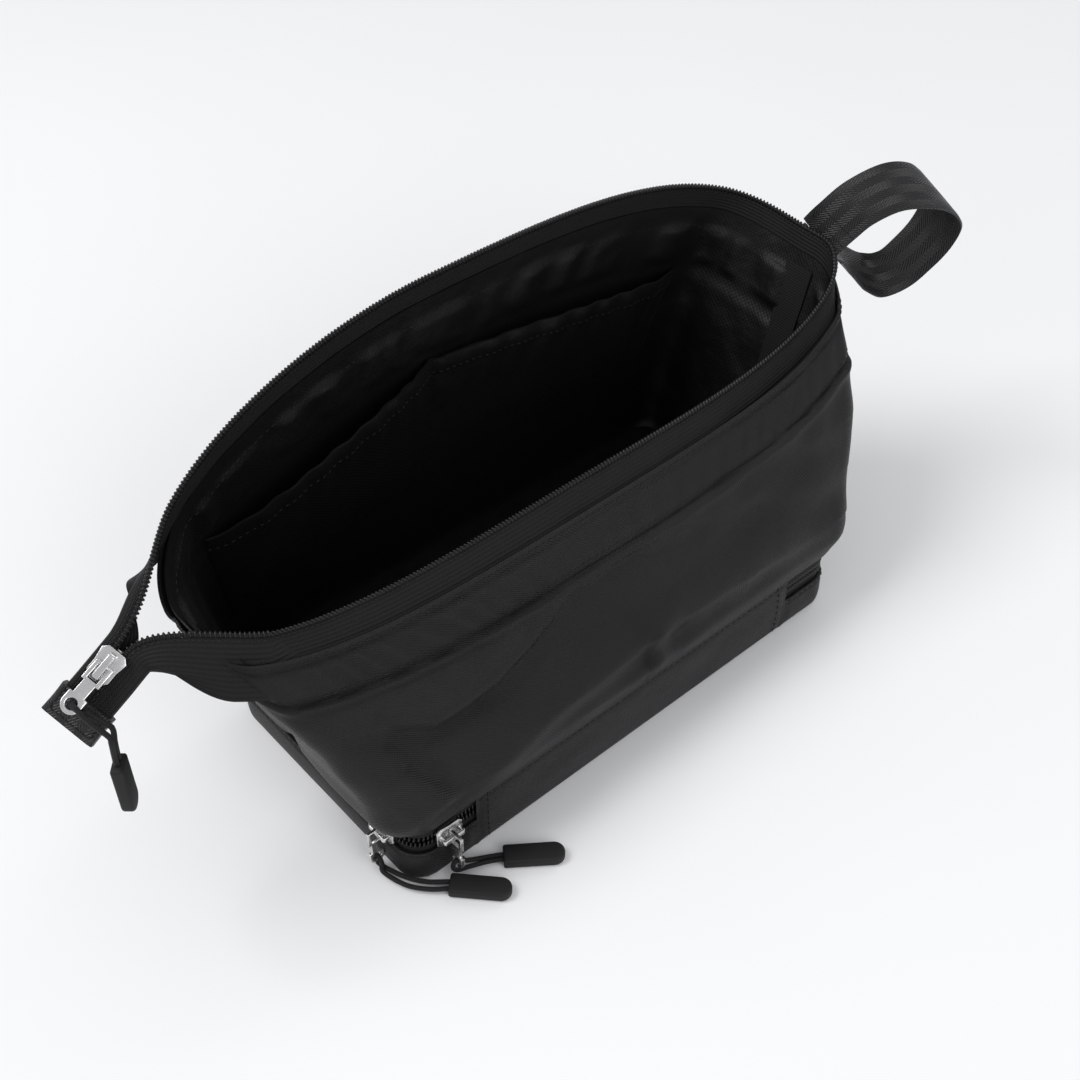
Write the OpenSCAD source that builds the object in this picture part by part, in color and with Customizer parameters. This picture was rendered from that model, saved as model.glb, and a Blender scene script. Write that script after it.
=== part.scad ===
// Travel toiletry bag with a wide zipped mouth and a zipped bottom compartment.
// Millimetres. +Z is up, +X runs to the hanging loop's end, -Y is the front.
// The origin is on the ground under the middle of the base.

/* [Bottom compartment] */
// Length of the base, from end to end
base_l = 216; // [180:1:260]
// Depth of the base, from front to back
base_d = 110; // [90:1:134]
// Radius of the upright corners of the bottom compartment
corner_r = 10; // [8:1:14]
// Height of the seam between the bottom and the main compartment
tray_h = 27; // [25:1:34]
// Height of the lower zip's centre line
zip_z = 20; // [18:1:21]
// Length of zip on the front, from each end to its seam
leg_l = 28; // [26:1:34]

/* [Mouth] */
// Reach of the mouth to the left of the middle
mouth_left = 150; // [125:1:180]
// Reach of the mouth to the right of the middle
mouth_right = 153; // [125:1:184]
// How far the front rim lies before the middle
mouth_front = 17; // [10:1:36]
// How far the back rim lies behind the middle
mouth_back = 65; // [52:1:78]
// Where the two ends of the mouth lie, behind the middle
mouth_end_y = 9; // [0:1:14]
// Height of the rim at the middle of the slumped front
front_h = 102; // [85:1:122]
// Height of the rim at the middle of the back
back_h = 146; // [122:1:175]
// Height of the rim at the left end
left_h = 122; // [102:1:146]
// Height of the rim at the right end
right_h = 127; // [106:1:152]
// How far the filled walls bulge above the seam
belly = 5; // [2:0.5:6]

/* [Cloth] */
// Thickness of the outer cloth with its coating
cloth_t = 1; // [0.8:0.1:1.2]
// Thickness of the lining
lining_t = 0.6; // [0.4:0.1:0.8]
// Thickness of the floor between the two compartments
floor_t = 1.2; // [0.8:0.1:2]
// Clearance between two layers that lie on each other
layer_gap = 0.2; // [0.15:0.05:0.3]

/* [Zips] */
// Thickness of the zip tape
tape_t = 0.6; // [0.4:0.1:0.7]
// Width of one tape, without its teeth
tape_w = 14; // [12:0.5:16]
// Tape and teeth that show above the mouth's seam
tape_show = 9; // [7:0.5:11]
// Width of one row of teeth
chain_w = 2; // [1.6:0.1:2.2]
// Thickness of the rows of teeth
chain_t = 2.2; // [1.8:0.1:2.4]
// Gap between the cores of two joined rows
chain_gap = 1.2; // [1:0.1:1.6]

/* [Zip tail] */
// How far the tapes run past the left end before they join
tail_reach = 14; // [10:1:20]
// Drop of the joined zip's start below the left rim
tail_drop = 6; // [3:1:10]
// Downward slope of the joined zip, in degrees
tail_pitch = 32; // [0:1:40]
// Roll of the joined zip towards the front, in degrees
tail_roll = 35; // [0:1:45]
// Length of joined zip between the slider's start and the end tab
tail_l = 18; // [16:1:24]
// Length of the webbing tab that closes the zip's end
tab_l = 10; // [8:1:14]
// Reach of the joined zip's tape to the front, before it folds under
tail_front = 10.6; // [8:0.2:12]
// Reach of the joined zip's tape to the back, before it folds under
tail_back = 5.6; // [5.4:0.2:8]

/* [Sliders and pulls] */
// Length of a slider's body
slider_l = 11; // [10:0.5:13]
// Width of a slider's head
slider_head_w = 9.4; // [9:0.2:11]
// Width of a slider's tail
slider_tail_w = 8; // [7.6:0.2:9]
// Thickness of each slider plate
plate_t = 1.1; // [0.9:0.1:1.3]
// Length of a metal puller
puller_l = 18; // [17:0.5:19]
// Thickness of a metal puller
puller_t = 1.2; // [1:0.1:1.4]
// Diameter of the pull cord
cord_d = 1.8; // [1.4:0.1:2]
// Length of a moulded grip
grip_l = 22; // [18:1:26]
// Width of a moulded grip
grip_w = 8; // [7:0.2:9]
// Thickness of a moulded grip
grip_t = 4; // [3.4:0.1:4.4]

/* [Pocket and loop] */
// Distance from the back rim down to the pocket's edge
pocket_drop = 34; // [26:1:44]
// Depth of the pocket below its edge
pocket_h = 52; // [40:1:60]
// How far the filled pocket stands off the lining
pocket_gap = 11; // [8:1:14]
// Width of the hanging loop's webbing
web_w = 20; // [16:1:24]
// Thickness of the webbing
web_t = 1.4; // [1.1:0.1:1.7]
// Reach of the hanging loop, which curls up and over to the front
loop_l = 47; // [38:1:57]

/* [Hidden] */
$fn = 32;

BLACK = [0.10, 0.10, 0.11];
COIL = [0.06, 0.06, 0.06];
METAL = [0.82, 0.82, 0.84];
RUBBER = [0.13, 0.13, 0.14];

WALL_STEPS = 8;      // rows of facets up a wall
TURN = 5;            // degrees of the outline to each column of facets
FREE_STEPS = 4;      // steps along the tapes between the bag and the joined zip
SPLIT = 0.3;         // clearance where the zip parts as the compartment opens
join = 0.6;          // overlap of the tapes' free runs with the joined zip
floor_gap = 0.4;     // clearance of the compartment floor inside the lining
binding_gap = 0.4;   // clearance of a seam binding inside the lining
binding_turn = 3;    // half width of a seam binding, in degrees of the outline
leave_rise = 2.2;    // a tape's lower edge over the panel's edge, where the tape leaves the bag
leave_dip = 3;       // dip of the front's edge where its tape crosses over it

tape_off = cloth_t + layer_gap;                    // zip tape's outer face, in from the outside
lining_off = tape_off + tape_t + layer_gap;        // lining's outer face
room_off = lining_off + lining_t;                  // inside face of the bag
mid_off = tape_off + tape_t / 2;                   // middle of the zip's thickness
chain_off = mid_off - chain_t / 2;                 // outer face of the teeth
half_gap = chain_gap / 2;
row_top = zip_z + half_gap + chain_w;              // upper edge of the lower zip's teeth
row_bottom = zip_z - half_gap - chain_w;
band_z = zip_z - 5;                                // upper edge of the side band
tape_tuck = 3;                                     // tape hidden behind the band
seam_x = base_l / 2 - leg_l;                       // seams of the front band
turn_y = -(base_d / 2 - corner_r);                 // where the front corners end
front_n = 4;                                       // fullness of the rim's outline
back_left_n = 1.8;
back_right_n = 3.4;

// Slider heights, measured from the middle of the zip's thickness
plate_z = chain_t / 2 + 0.3;
plate_top = plate_z + plate_t;
arch_h = 1.9;                                      // room under the cap for the puller
arch_z = plate_top + arch_h;
cap_t = 0.9;
spring_t = 0.25;
cap_z = arch_z + spring_t + 0.05;
cap_w = 2.2;
cap_l = slider_l - 1.8;
post_l = 1.2;
flange_w = 0.8;
flange_gap = tape_t / 2 + 0.25;
flange_y = half_gap + chain_w + 0.6;

// Puller outline
bar_w = 1;                                         // width of the eye's end bar
eye_w = 6.4;
eye_l = 5;
eye_gap = 3.6;
neck_w = 4.2;
end_w = 6.6;
end_l = 6.4;
end_hole = 3.6;
lie_z = plate_top + arch_h / 2;                      // middle of a puller that lies flat
hang_z = plate_top + 0.25 + eye_w / 2;             // middle of a puller that hangs on its cap
hang_y = cap_w / 2 + 0.5 + bar_w / 2;              // its bar above the cap's middle
hole_x = puller_l - end_l / 2 - bar_w / 2;         // cord hole from the puller's bar

left_slider_y = turn_y + slider_l / 2;
front_slider_x = -(base_l / 2 - corner_r - slider_l / 2);
hole_z = zip_z + hang_y - hole_x;                  // height of a hanging puller's cord hole
ground = 0.2;                                      // clearance of the grips over the ground
grip_z = grip_t / 2 + ground;

function lerp(a, b, f) = a + (b - a) * f;
function signed_pow(x, e) = sign(x) * pow(abs(x), e);

// Point at share u of the way round a rounded rectangle, from its right side's middle
function quarter_pt(s, hl, hd, r) =
    s < hd - r ? [hl, s]
    : s < hd - r + r * PI / 2
        ? let (a = (s - hd + r) / r * 180 / PI) [hl - r + r * cos(a), hd - r + r * sin(a)]
    : [hl - r - (s - hd + r - r * PI / 2), hd];
function outline_pt(turns, l, d, r) =
    let (u = turns - floor(turns), k = floor(4 * u), f = 4 * u - k, q = l / 2 + d / 2 - 2 * r + r * PI / 2,
         p = quarter_pt(q * (k % 2 == 0 ? f : 1 - f), l / 2, d / 2, r))
    [(k == 0 || k == 3 ? 1 : -1) * p.x, (k < 2 ? 1 : -1) * p.y];

// The rim of the mouth at angle t: 0 is the right end, 90 the back, 270 the front
function rim_xy(t, off) =
    let (c = cos(t), s = sin(t), n = s < 0 ? front_n : c > 0 ? back_right_n : back_left_n)
    [((c > 0 ? mouth_right : mouth_left) - off) * signed_pow(c, 2 / n),
     mouth_end_y + ((s > 0 ? mouth_back - mouth_end_y : mouth_front + mouth_end_y) - off)
        * signed_pow(s, 2 / n)];
function rim_h(t) =
    lerp(cos(t) > 0 ? right_h : left_h, sin(t) > 0 ? back_h : front_h, pow(abs(sin(t)), 1.3));

// Wall of the main compartment at angle t and share v of its height, off inside its outer face
function wall_pt(t, v, off) =
    let (b = wall_xy(t, off), m = rim_xy(t, off), w = pow(v, 1.3), k = belly * sin(180 * pow(v, 0.6)))
    [lerp(b.x, m.x, w) + k * b.x / (base_l / 2), lerp(b.y, m.y, w) + k * b.y / (base_d / 2),
     lerp(tray_h, rim_h(t), v)];
function wall_xy(t, off) = outline_pt(t / 360, base_l - 2 * off, base_d - 2 * off, corner_r - off);
function below_rim(t, drop) = 1 - drop / (rim_h(t) - tray_h);
function turn_steps(from, to) = [for (i = [0 : ceil((to - from) / TURN)]) min(from + i * TURN, to)];

// Closed sheet between two grids of points, whose rows run up and columns run round
module skin(outer, inner) {
    rows = len(outer);
    cols = len(outer[0]);
    function id(k, r, c) = (k * rows + r) * cols + c;
    function quad(a, b, c, d) = [[a, b, c], [a, c, d]];
    polyhedron(
        [for (grid = [outer, inner]) for (row = grid) for (p = row) p],
        [for (q = concat(
            [for (r = [0 : rows - 2]) for (c = [0 : cols - 2])
                quad(id(0, r, c), id(0, r + 1, c), id(0, r + 1, c + 1), id(0, r, c + 1))],
            [for (r = [0 : rows - 2]) for (c = [0 : cols - 2])
                quad(id(1, r, c), id(1, r, c + 1), id(1, r + 1, c + 1), id(1, r + 1, c))],
            [for (c = [0 : cols - 2])
                quad(id(0, 0, c), id(0, 0, c + 1), id(1, 0, c + 1), id(1, 0, c))],
            [for (c = [0 : cols - 2])
                quad(id(0, rows - 1, c), id(1, rows - 1, c), id(1, rows - 1, c + 1), id(0, rows - 1, c + 1))],
            [for (r = [0 : rows - 2])
                quad(id(0, r, 0), id(1, r, 0), id(1, r + 1, 0), id(0, r + 1, 0))],
            [for (r = [0 : rows - 2])
                quad(id(0, r, cols - 1), id(0, r + 1, cols - 1), id(1, r + 1, cols - 1), id(1, r, cols - 1))]
        )) for (face = q) face]);
}

// Round tube along a path that never runs along ref
module tube(path, d, ref, sides = 8) {
    n = len(path);
    function unit(v) = v / norm(v);
    function dir(i) = unit(path[min(i + 1, n - 1)] - path[max(i - 1, 0)]);
    function id(i, k) = i * sides + k % sides;
    polyhedron(
        [for (i = [0 : n - 1]) for (k = [0 : sides - 1])
            let (s = unit(cross(dir(i), ref)), u = cross(s, dir(i)), a = 360 * k / sides)
            path[i] + d / 2 * (cos(a) * s + sin(a) * u)],
        concat(
            [for (i = [0 : n - 2]) for (k = [0 : sides - 1]) [id(i, k), id(i, k + 1), id(i + 1, k + 1)]],
            [for (i = [0 : n - 2]) for (k = [0 : sides - 1]) [id(i, k), id(i + 1, k + 1), id(i + 1, k)]],
            [[for (k = [sides - 1 : -1 : 0]) k]],
            [[for (k = [0 : sides - 1]) (n - 1) * sides + k]]));
}

module rounded_plate(off, z0, z1) {
    r = corner_r - off;
    l = base_l - 2 * off;
    d = base_d - 2 * off;
    translate([0, 0, z0]) linear_extrude(z1 - z0) union() {
        square([l - 2 * r, d], center = true);
        square([l, d - 2 * r], center = true);
        for (x = [-1, 1], y = [-1, 1]) translate([x * (l / 2 - r), y * (d / 2 - r)]) circle(r);
    }
}

module wall_ring(off0, off1, z0, z1) {
    difference() {
        rounded_plate(off0, z0, z1);
        rounded_plate(off1, z0 - 1, z1 + 1);
    }
}

// Space in front of the bag's middle, between two places on the front
module front_zone(half_x) {
    translate([-half_x, -base_d, -1]) cube([2 * half_x, base_d, 3 * tray_h]);
}

// Space before or behind the line where the front corners end
module leg_zone() {
    translate([-base_l, -base_d, -1]) cube([2 * base_l, base_d + turn_y, 3 * tray_h]);
}
module loop_zone() {
    translate([-base_l, turn_y + SPLIT, -1]) cube([2 * base_l, 2 * base_d, 3 * tray_h]);
}

// Grid of points from share v0 of the wall's height up to the tape's lower edge, then to a drop below the rim
function wall_grid(ts, v0, drop, off) =
    [for (j = [0 : WALL_STEPS]) [for (t = ts)
        let (low = lerp(v0, below_rim(t, chain_w + tape_w), j / (WALL_STEPS - 1)))
        wall_pt(t, j < WALL_STEPS ? low : below_rim(t, drop + edge_dip(t)), off)]];
function edge_dip(t) = t > 180 && t < LEAVE[0] ? leave_dip * sin(180 * (t - 180) / (LEAVE[0] - 180)) : 0;
module wall_sheet(from, to, v0, drop, off0, off1) {
    ts = turn_steps(from, to);
    skin(wall_grid(ts, v0, drop, off0), wall_grid(ts, v0, drop, off1));
}

// ---- Bottom compartment ----

module base_panel() color(BLACK) rounded_plate(0, 0, cloth_t);

module base_lining() color(BLACK)
    rounded_plate(room_off, cloth_t + layer_gap, cloth_t + layer_gap + lining_t);

module front_band() color(BLACK) intersection() {
    wall_ring(0, cloth_t, cloth_t, tray_h);
    front_zone(seam_x);
}

module side_band() color(BLACK) difference() {
    wall_ring(0, cloth_t, cloth_t, band_z);
    front_zone(seam_x + layer_gap);
}

module lower_zip_tape_bottom() color(BLACK) difference() {
    wall_ring(tape_off, tape_off + tape_t, band_z - tape_tuck, row_bottom);
    front_zone(seam_x);
}

module lower_zip_teeth_bottom() color(COIL) difference() {
    wall_ring(chain_off, chain_off + chain_t, row_bottom, zip_z - half_gap);
    front_zone(seam_x + layer_gap);
}

module lower_zip_leg_tape() color(BLACK) difference() {
    intersection() {
        wall_ring(tape_off, tape_off + tape_t, row_top, tray_h);
        leg_zone();
    }
    front_zone(seam_x);
}

module lower_zip_leg_teeth() color(COIL) difference() {
    intersection() {
        wall_ring(chain_off, chain_off + chain_t, zip_z + half_gap, row_top);
        leg_zone();
    }
    front_zone(seam_x + layer_gap);
}

// ---- Main compartment ----

module lower_zip_tape_top() color(BLACK) intersection() {
    wall_ring(tape_off, tape_off + tape_t, row_top, tray_h);
    loop_zone();
}

module lower_zip_teeth_top() color(COIL) intersection() {
    wall_ring(chain_off, chain_off + chain_t, zip_z + half_gap, row_top);
    loop_zone();
}

module front_panel() color(BLACK) wall_sheet(180, 360, 0, tape_show, 0, cloth_t);

module back_panel() color(BLACK) wall_sheet(0, 180, 0, tape_show, 0, cloth_t);

module front_lining() color(BLACK) wall_sheet(180, 360, 0, tape_show, lining_off, room_off);

module back_lining() color(BLACK) wall_sheet(0, 180, 0, tape_show, lining_off, room_off);

module compartment_floor() color(BLACK)
    translate([0, 0, tray_h]) linear_extrude(floor_t)
        polygon([for (t = [0 : TURN : 359]) wall_xy(t, room_off + floor_gap)]);

// ---- Mouth zip ----

LEAVE = [225, 150];                                 // angles where the tapes leave the bag, front and back
tail_at = [-(mouth_left + tail_reach), mouth_end_y - 4, left_h - tail_drop];
under_z = plate_top + 0.4;                          // room for the slider between the folded layers

// Local frame of the joined zip: +X to the end tab, +Y to the front, +Z out of the zip
module on_tail(x = 0, z = 0) {
    translate(tail_at) rotate([-tail_roll, tail_pitch, 180]) translate([x, 0, z]) children();
}
function tail_pt(p) =
    let (y = p.y * cos(tail_roll) + p.z * sin(tail_roll), z = p.z * cos(tail_roll) - p.y * sin(tail_roll))
    tail_at + [-p.x * cos(tail_pitch) - z * sin(tail_pitch), -y, z * cos(tail_pitch) - p.x * sin(tail_pitch)];

// Drop of a tape's row at an angle from where it leaves the bag, clear of the panel's edge
function sewn_drop(drop, turn) = min(drop, lerp(tape_show - leave_rise, drop, min(1, turn / (2 * TURN))));

// One row of points of a mouth tape: front is 0 and back is 1, end is the point at the joined zip
function mouth_row(k, drop, off, end) =
    let (leave = LEAVE[k],
         sewn = [for (t = k == 0 ? turn_steps(leave, 360) : turn_steps(0, leave))
             wall_pt(t, below_rim(t, sewn_drop(drop, abs(t - leave))), off)],
         start = k == 0 ? sewn[0] : sewn[len(sewn) - 1],
         free = [for (i = [0 : FREE_STEPS - 1]) lerp(end, start, i / FREE_STEPS)])
    k == 0 ? concat(free, sewn) : concat(sewn, [for (i = [FREE_STEPS - 1 : -1 : 0]) free[i]]);

function tail_side(k) = k == 0 ? 1 : -1;

module mouth_tape(k) {
    side_y = half_gap + chain_w;
    h = tape_t / 2;
    y = tail_side(k);
    reach = k == 0 ? tail_front : tail_back;
    function rows(off, z) = [for (f = [1, (tape_show - chain_w) / tape_w, 0])
        mouth_row(k, chain_w + f * tape_w, off, tail_pt([0, y * lerp(side_y, reach, f), z]))];
    skin(rows(tape_off, h), rows(tape_off + tape_t, -h));
    on_tail(-join) mirror([0, k, 0]) rotate([90, 0, 90]) linear_extrude(tail_l + join)
        folded_section(side_y, reach, tape_t, h);
}

// Cross-section of one tape of the joined zip: flat to its reach, then folded under towards the middle
module folded_section(y0, reach, t, top) {
    under = -under_z - t;
    polygon([[y0, top], [reach, top], [reach, under], [y0, under], [y0, under + t],
             [reach - t, under + t], [reach - t, top - t], [y0, top - t]]);
}

module mouth_teeth(k) {
    out = half_gap + chain_w;
    h = chain_t / 2;
    y = tail_side(k);
    skin([mouth_row(k, chain_w, chain_off, tail_pt([0, y * out, h])),
          mouth_row(k, 0, chain_off, tail_pt([0, y * half_gap, h]))],
         [mouth_row(k, chain_w, chain_off + chain_t, tail_pt([0, y * out, -h])),
          mouth_row(k, 0, chain_off + chain_t, tail_pt([0, y * half_gap, -h]))]);
    on_tail(-join) mirror([0, k, 0]) translate([0, half_gap, -h]) cube([tail_l + join, chain_w, chain_t]);
}

module mouth_tape_front() color(BLACK) mouth_tape(0);
module mouth_tape_back() color(BLACK) mouth_tape(1);
module mouth_teeth_front() color(COIL) mouth_teeth(0);
module mouth_teeth_back() color(COIL) mouth_teeth(1);

// Webbing sleeve sewn over the end of the joined zip
module zip_end_tab() color(BLACK) on_tail(tail_l + layer_gap) {
    top = chain_t / 2 + web_t;
    bottom = under_z + tape_t + web_t;
    back = tail_back + web_t;
    front = tail_front + web_t;
    translate([0, -back, -bottom]) cube([tab_l, back + front, bottom + top]);
}

// ---- Inside ----

module seam_binding(t) {
    ts = [for (i = [-1 : 1]) t + i * binding_turn];
    off = room_off + binding_gap;
    top = tape_show + 4;
    skin(wall_grid(ts, 0.08, top, off), wall_grid(ts, 0.08, top, off + lining_t));
}
module left_seam_binding() color(BLACK) seam_binding(180);
module right_seam_binding() color(BLACK) seam_binding(0);

POCKET = [38, 146];                                 // angles of the pocket's two sides
POCKET_ROWS = 5;
hem_h = 7;                                          // height of the pocket's elastic hem

// Distance of the pocket from the lining: two bays that open towards the edge, f across and g up
function pocket_stand(f, g) = layer_gap + pocket_gap * pow(abs(sin(360 * f)), 0.7) * sin(90 * g);
function pocket_grid(from_drop, to_drop, rows, extra) =
    let (ts = turn_steps(POCKET[0], POCKET[1]))
    [for (j = [0 : rows]) [for (t = ts)
        let (drop = lerp(from_drop, to_drop, j / rows),
             g = (pocket_drop + pocket_h - drop) / pocket_h,
             f = (t - POCKET[0]) / (POCKET[1] - POCKET[0]))
        wall_pt(t, below_rim(t, drop), room_off + pocket_stand(f, g) + extra)]];
module inner_pocket() color(BLACK)
    skin(pocket_grid(pocket_drop + pocket_h, pocket_drop + hem_h + layer_gap, POCKET_ROWS, 0),
         pocket_grid(pocket_drop + pocket_h, pocket_drop + hem_h + layer_gap, POCKET_ROWS, lining_t));
module pocket_hem() color(BLACK)
    skin(pocket_grid(pocket_drop + hem_h, pocket_drop, 1, 0),
         pocket_grid(pocket_drop + hem_h, pocket_drop, 1, 2 * lining_t));

// ---- Hanging loop ----

loop_at = [mouth_right + layer_gap, mouth_end_y, right_h - 5];
LOOP_STEPS = 4;                                     // columns of facets to each stretch of the route
root_z = web_t / 2 + layer_gap;                     // height of each strand's middle at the root
ROOT_ACROSS = [0, -0.9, -0.44];
// Middle line of the webbing between its two ends at the root, as shares of the reach
LOOP_ROUTE = [
    [0.09, -0.09, 0.18], [0.22, -0.2, 0.36], [0.43, -0.35, 0.49], [0.67, -0.47, 0.46], [0.87, -0.52, 0.31],
    [0.99, -0.51, 0.1], [0.97, -0.45, -0.14], [0.86, -0.37, -0.34], [0.75, -0.29, -0.48], [0.61, -0.18, -0.54],
    [0.45, -0.1, -0.44], [0.28, -0.04, -0.27], [0.12, 0, -0.13]];
// Direction across the webbing at each of those places
LOOP_ACROSS = [
    [0.25, -0.84, -0.48], [0.11, -0.82, -0.56], [0.04, -0.8, -0.6], [0.08, -0.81, -0.58], [0.13, -0.82, -0.55],
    [0.2, -0.83, -0.51], [0.33, -0.84, -0.43], [0.41, -0.83, -0.37], [0.38, -0.84, -0.39], [0.08, -0.81, -0.58],
    [-0.02, -0.78, -0.62], [0.08, -0.81, -0.58], [0.26, -0.84, -0.48]];
loop_route = concat([[0, 0, root_z]], [for (p = LOOP_ROUTE) loop_l * p], [[0, 0, -root_z]]);
loop_across = concat([ROOT_ACROSS], LOOP_ACROSS, [ROOT_ACROSS]);

// Value at place s of a list, on a smooth curve through its points
function along(list, s) =
    let (n = len(list) - 1, i = min(floor(s), n - 1), f = s - i, b = list[i], c = list[i + 1],
         a = i > 0 ? list[i - 1] : 2 * b - c, d = i < n - 1 ? list[i + 2] : 2 * c - b)
    (2 * b + (c - a) * f + (2 * a - 5 * b + 4 * c - d) * f * f + (3 * b - a - 3 * c + d) * f * f * f) / 2;
function loop_side(s, h) =
    let (way = along(loop_route, min(s + 0.05, len(loop_route) - 1)) - along(loop_route, max(s - 0.05, 0)),
         n = cross(way, -along(loop_across, s)))
    h * n / norm(n);
function loop_grid(h) =
    [for (side = [1, -1]) [for (i = [0 : LOOP_STEPS * (len(loop_route) - 1)])
        let (s = i / LOOP_STEPS, w = along(loop_across, s))
        along(loop_route, s) + side * web_w / 2 * w / norm(w) + loop_side(s, h)]];
module hanging_loop() color(BLACK)
    translate(loop_at) skin(loop_grid(web_t / 2), loop_grid(-web_t / 2));

// ---- Sliders: local +X to the joined teeth, +Z out of the zip ----

module at_main(z = 0) on_tail(slider_l / 2 + 1, z) children();
module at_left(z = 0) {
    translate([-(base_l / 2 - mid_off), left_slider_y, zip_z]) rotate([90, 0, -90]) rotate([0, 0, 180])
        translate([0, 0, z]) children();
}
module at_front(z = 0) {
    translate([front_slider_x, -(base_d / 2 - mid_off), zip_z]) rotate([90, 0, 0])
        translate([0, 0, z]) children();
}

// Two plates held apart by a wedge at the head, with lips that keep the teeth in on the sides given
module slider_body(sides) {
    cut = 1.6;
    h = slider_head_w / 2;
    t = slider_tail_w / 2;
    x = slider_l / 2;
    for (z = [plate_z, -plate_top]) translate([0, 0, z]) linear_extrude(plate_t)
        polygon([[-x, -h + cut], [-x + cut, -h], [0, -t], [x - cut, -t], [x, -t + cut],
                 [x, t - cut], [x - cut, t], [0, t], [-x + cut, h], [-x, h - cut]]);
    translate([-x + 0.8, -half_gap + 0.2, -plate_z - 0.2]) cube([2, chain_gap - 0.4, 2 * plate_z + 0.4]);
    for (s = sides, z = [flange_gap, -plate_z - 0.2])
        translate([-x + cut, s > 0 ? flange_y : -flange_y - flange_w, z])
            cube([slider_l - 2 * cut, flange_w, plate_z + 0.2 - flange_gap]);
}

// Arched cap that the puller hangs on
module slider_cap() rotate([90, 0, 0]) linear_extrude(cap_w, center = true) difference() {
    polygon([[-cap_l / 2, plate_top], [-cap_l / 2, cap_z + cap_t - 0.7], [-cap_l / 2 + 0.7, cap_z + cap_t],
             [cap_l / 2 - 0.7, cap_z + cap_t], [cap_l / 2, cap_z + cap_t - 0.7], [cap_l / 2, plate_top]]);
    translate([-cap_l / 2 + post_l, plate_top - 1]) square([cap_l - 2 * post_l, cap_z - plate_top + 1]);
}

// Leaf spring with the locking pin's bend, under the cap
module slider_spring() translate([-cap_l / 2 + post_l + 0.1, -cap_w / 2 + 0.4, arch_z])
    cube([cap_l - 2 * post_l - 0.2, cap_w - 0.8, spring_t]);

// Flat metal puller from the bar of its eye along +X
module puller() translate([0, 0, -puller_t / 2]) linear_extrude(puller_t) difference() {
    union() {
        translate([-bar_w / 2, -eye_w / 2]) square([eye_l + 2 * bar_w, eye_w]);
        translate([0, -neck_w / 2]) square([puller_l - end_w / 2, neck_w]);
        translate([puller_l - bar_w / 2 - end_w / 2, 0]) circle(d = end_w);
        translate([puller_l - bar_w / 2 - end_l, -end_w / 2]) square([end_l - end_w / 2, end_w]);
    }
    translate([bar_w / 2, -eye_gap / 2]) square([eye_l, eye_gap]);
    translate([hole_x, 0]) circle(d = end_hole);
}

// Moulded grip along +X with a round end
module grip() translate([0, 0, -grip_t / 2]) linear_extrude(grip_t) union() {
    translate([0, -grip_w / 2]) square([grip_l - grip_w / 2, grip_w]);
    translate([grip_l - grip_w / 2, 0]) circle(d = grip_w);
}

// Captive cord loop: up one strand from the grip, through the puller's hole, and back down the other
module pull_cord(grip_end, hole, up, through, down, ref)
    tube(concat([for (p = up) grip_end + p], [for (p = through) hole + p], [for (p = down) grip_end + p]),
         cord_d, ref);

module main_slider() color(METAL) at_main() slider_body([-1, 1]);
module main_slider_cap() color(METAL) at_main() slider_cap();
module main_slider_spring() color(METAL) at_main() slider_spring();
module main_puller() color(METAL) at_main(lie_z) rotate([0, -main_lift, 0]) puller();

// The main grip hangs in front of the folded tape, and its cord props the puller up a little
main_lift = 12;
main_hole = tail_pt([slider_l / 2 + 1 + hole_x * cos(main_lift), 0, lie_z + hole_x * sin(main_lift)]);
main_grip_at = main_hole + [4.5, -11, -21];
main_grip_turn = 49;
module main_pull_cord() color(RUBBER) pull_cord(main_grip_at, main_hole,
    [[-0.7, -0.8, -1], [-0.8, -0.8, 3], [-0.5, -1, 10]],
    [for (p = [[0.9, 14.6, -1.2], [0.8, 10, 0.2], [0.4, 5, 1.6], [0, 3, 1.8], [0, 1.2, 1.5], [0, 0.3, 0],
               [0, 1.2, -1.5], [0, 3, -1.8], [-0.4, 5.4, -1.2], [-1, 10.4, -2], [-1.2, 13.4, -3.4]])
        tail_pt(p) - tail_at],
    [[1.2, 0.8, 8], [0.9, 0.8, 3], [0.7, 0.8, -1]], [1, 0, 0]);
module main_grip() color(RUBBER) translate(main_grip_at) rotate([0, 0, main_grip_turn]) rotate([0, 90, 0])
    rotate([90, 0, 0]) grip();

module left_slider() color(METAL) at_left() slider_body([1]);
module left_slider_cap() color(METAL) at_left() slider_cap();
module left_slider_spring() color(METAL) at_left() slider_spring();
module left_puller() color(METAL) at_left(hang_z) translate([0, -hang_y, 0]) rotate([90, 0, 90]) puller();

left_hole = [-(base_l / 2 - mid_off) - hang_z, left_slider_y, hole_z];
left_grip_at = [-(base_l / 2 - corner_r) - 1, -(base_d / 2) - 7.5, grip_z];
left_grip_turn = -47;
module left_pull_cord() color(RUBBER) pull_cord(left_grip_at, left_hole,
    [[1.2, 0.6, 0], [-5.2, 6, 0.2], [-9.6, 12.3, 0.4]],
    [[0.9, -3.5, -4.9], [0.2, 0, -5], [0, 2, -3.9], [0, 2, -1], [0, 0, 0.1],
     [0, -1.8, -0.9], [0, -2.4, -2.8], [-0.9, -4.7, -4.6]],
    [[-11.4, 9.6, 0.2], [-6.2, 2.9, 0.1], [-0.4, -1.6, 0]], [1, 0, 0]);
module left_grip() color(RUBBER) translate(left_grip_at) rotate([0, 0, left_grip_turn]) grip();

module front_slider() color(METAL) at_front() slider_body([-1, 1]);
module front_slider_cap() color(METAL) at_front() slider_cap();
module front_slider_spring() color(METAL) at_front() slider_spring();
module front_puller() color(METAL) at_front(hang_z) translate([0, hang_y, 0]) rotate([90, 0, -90]) puller();

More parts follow.
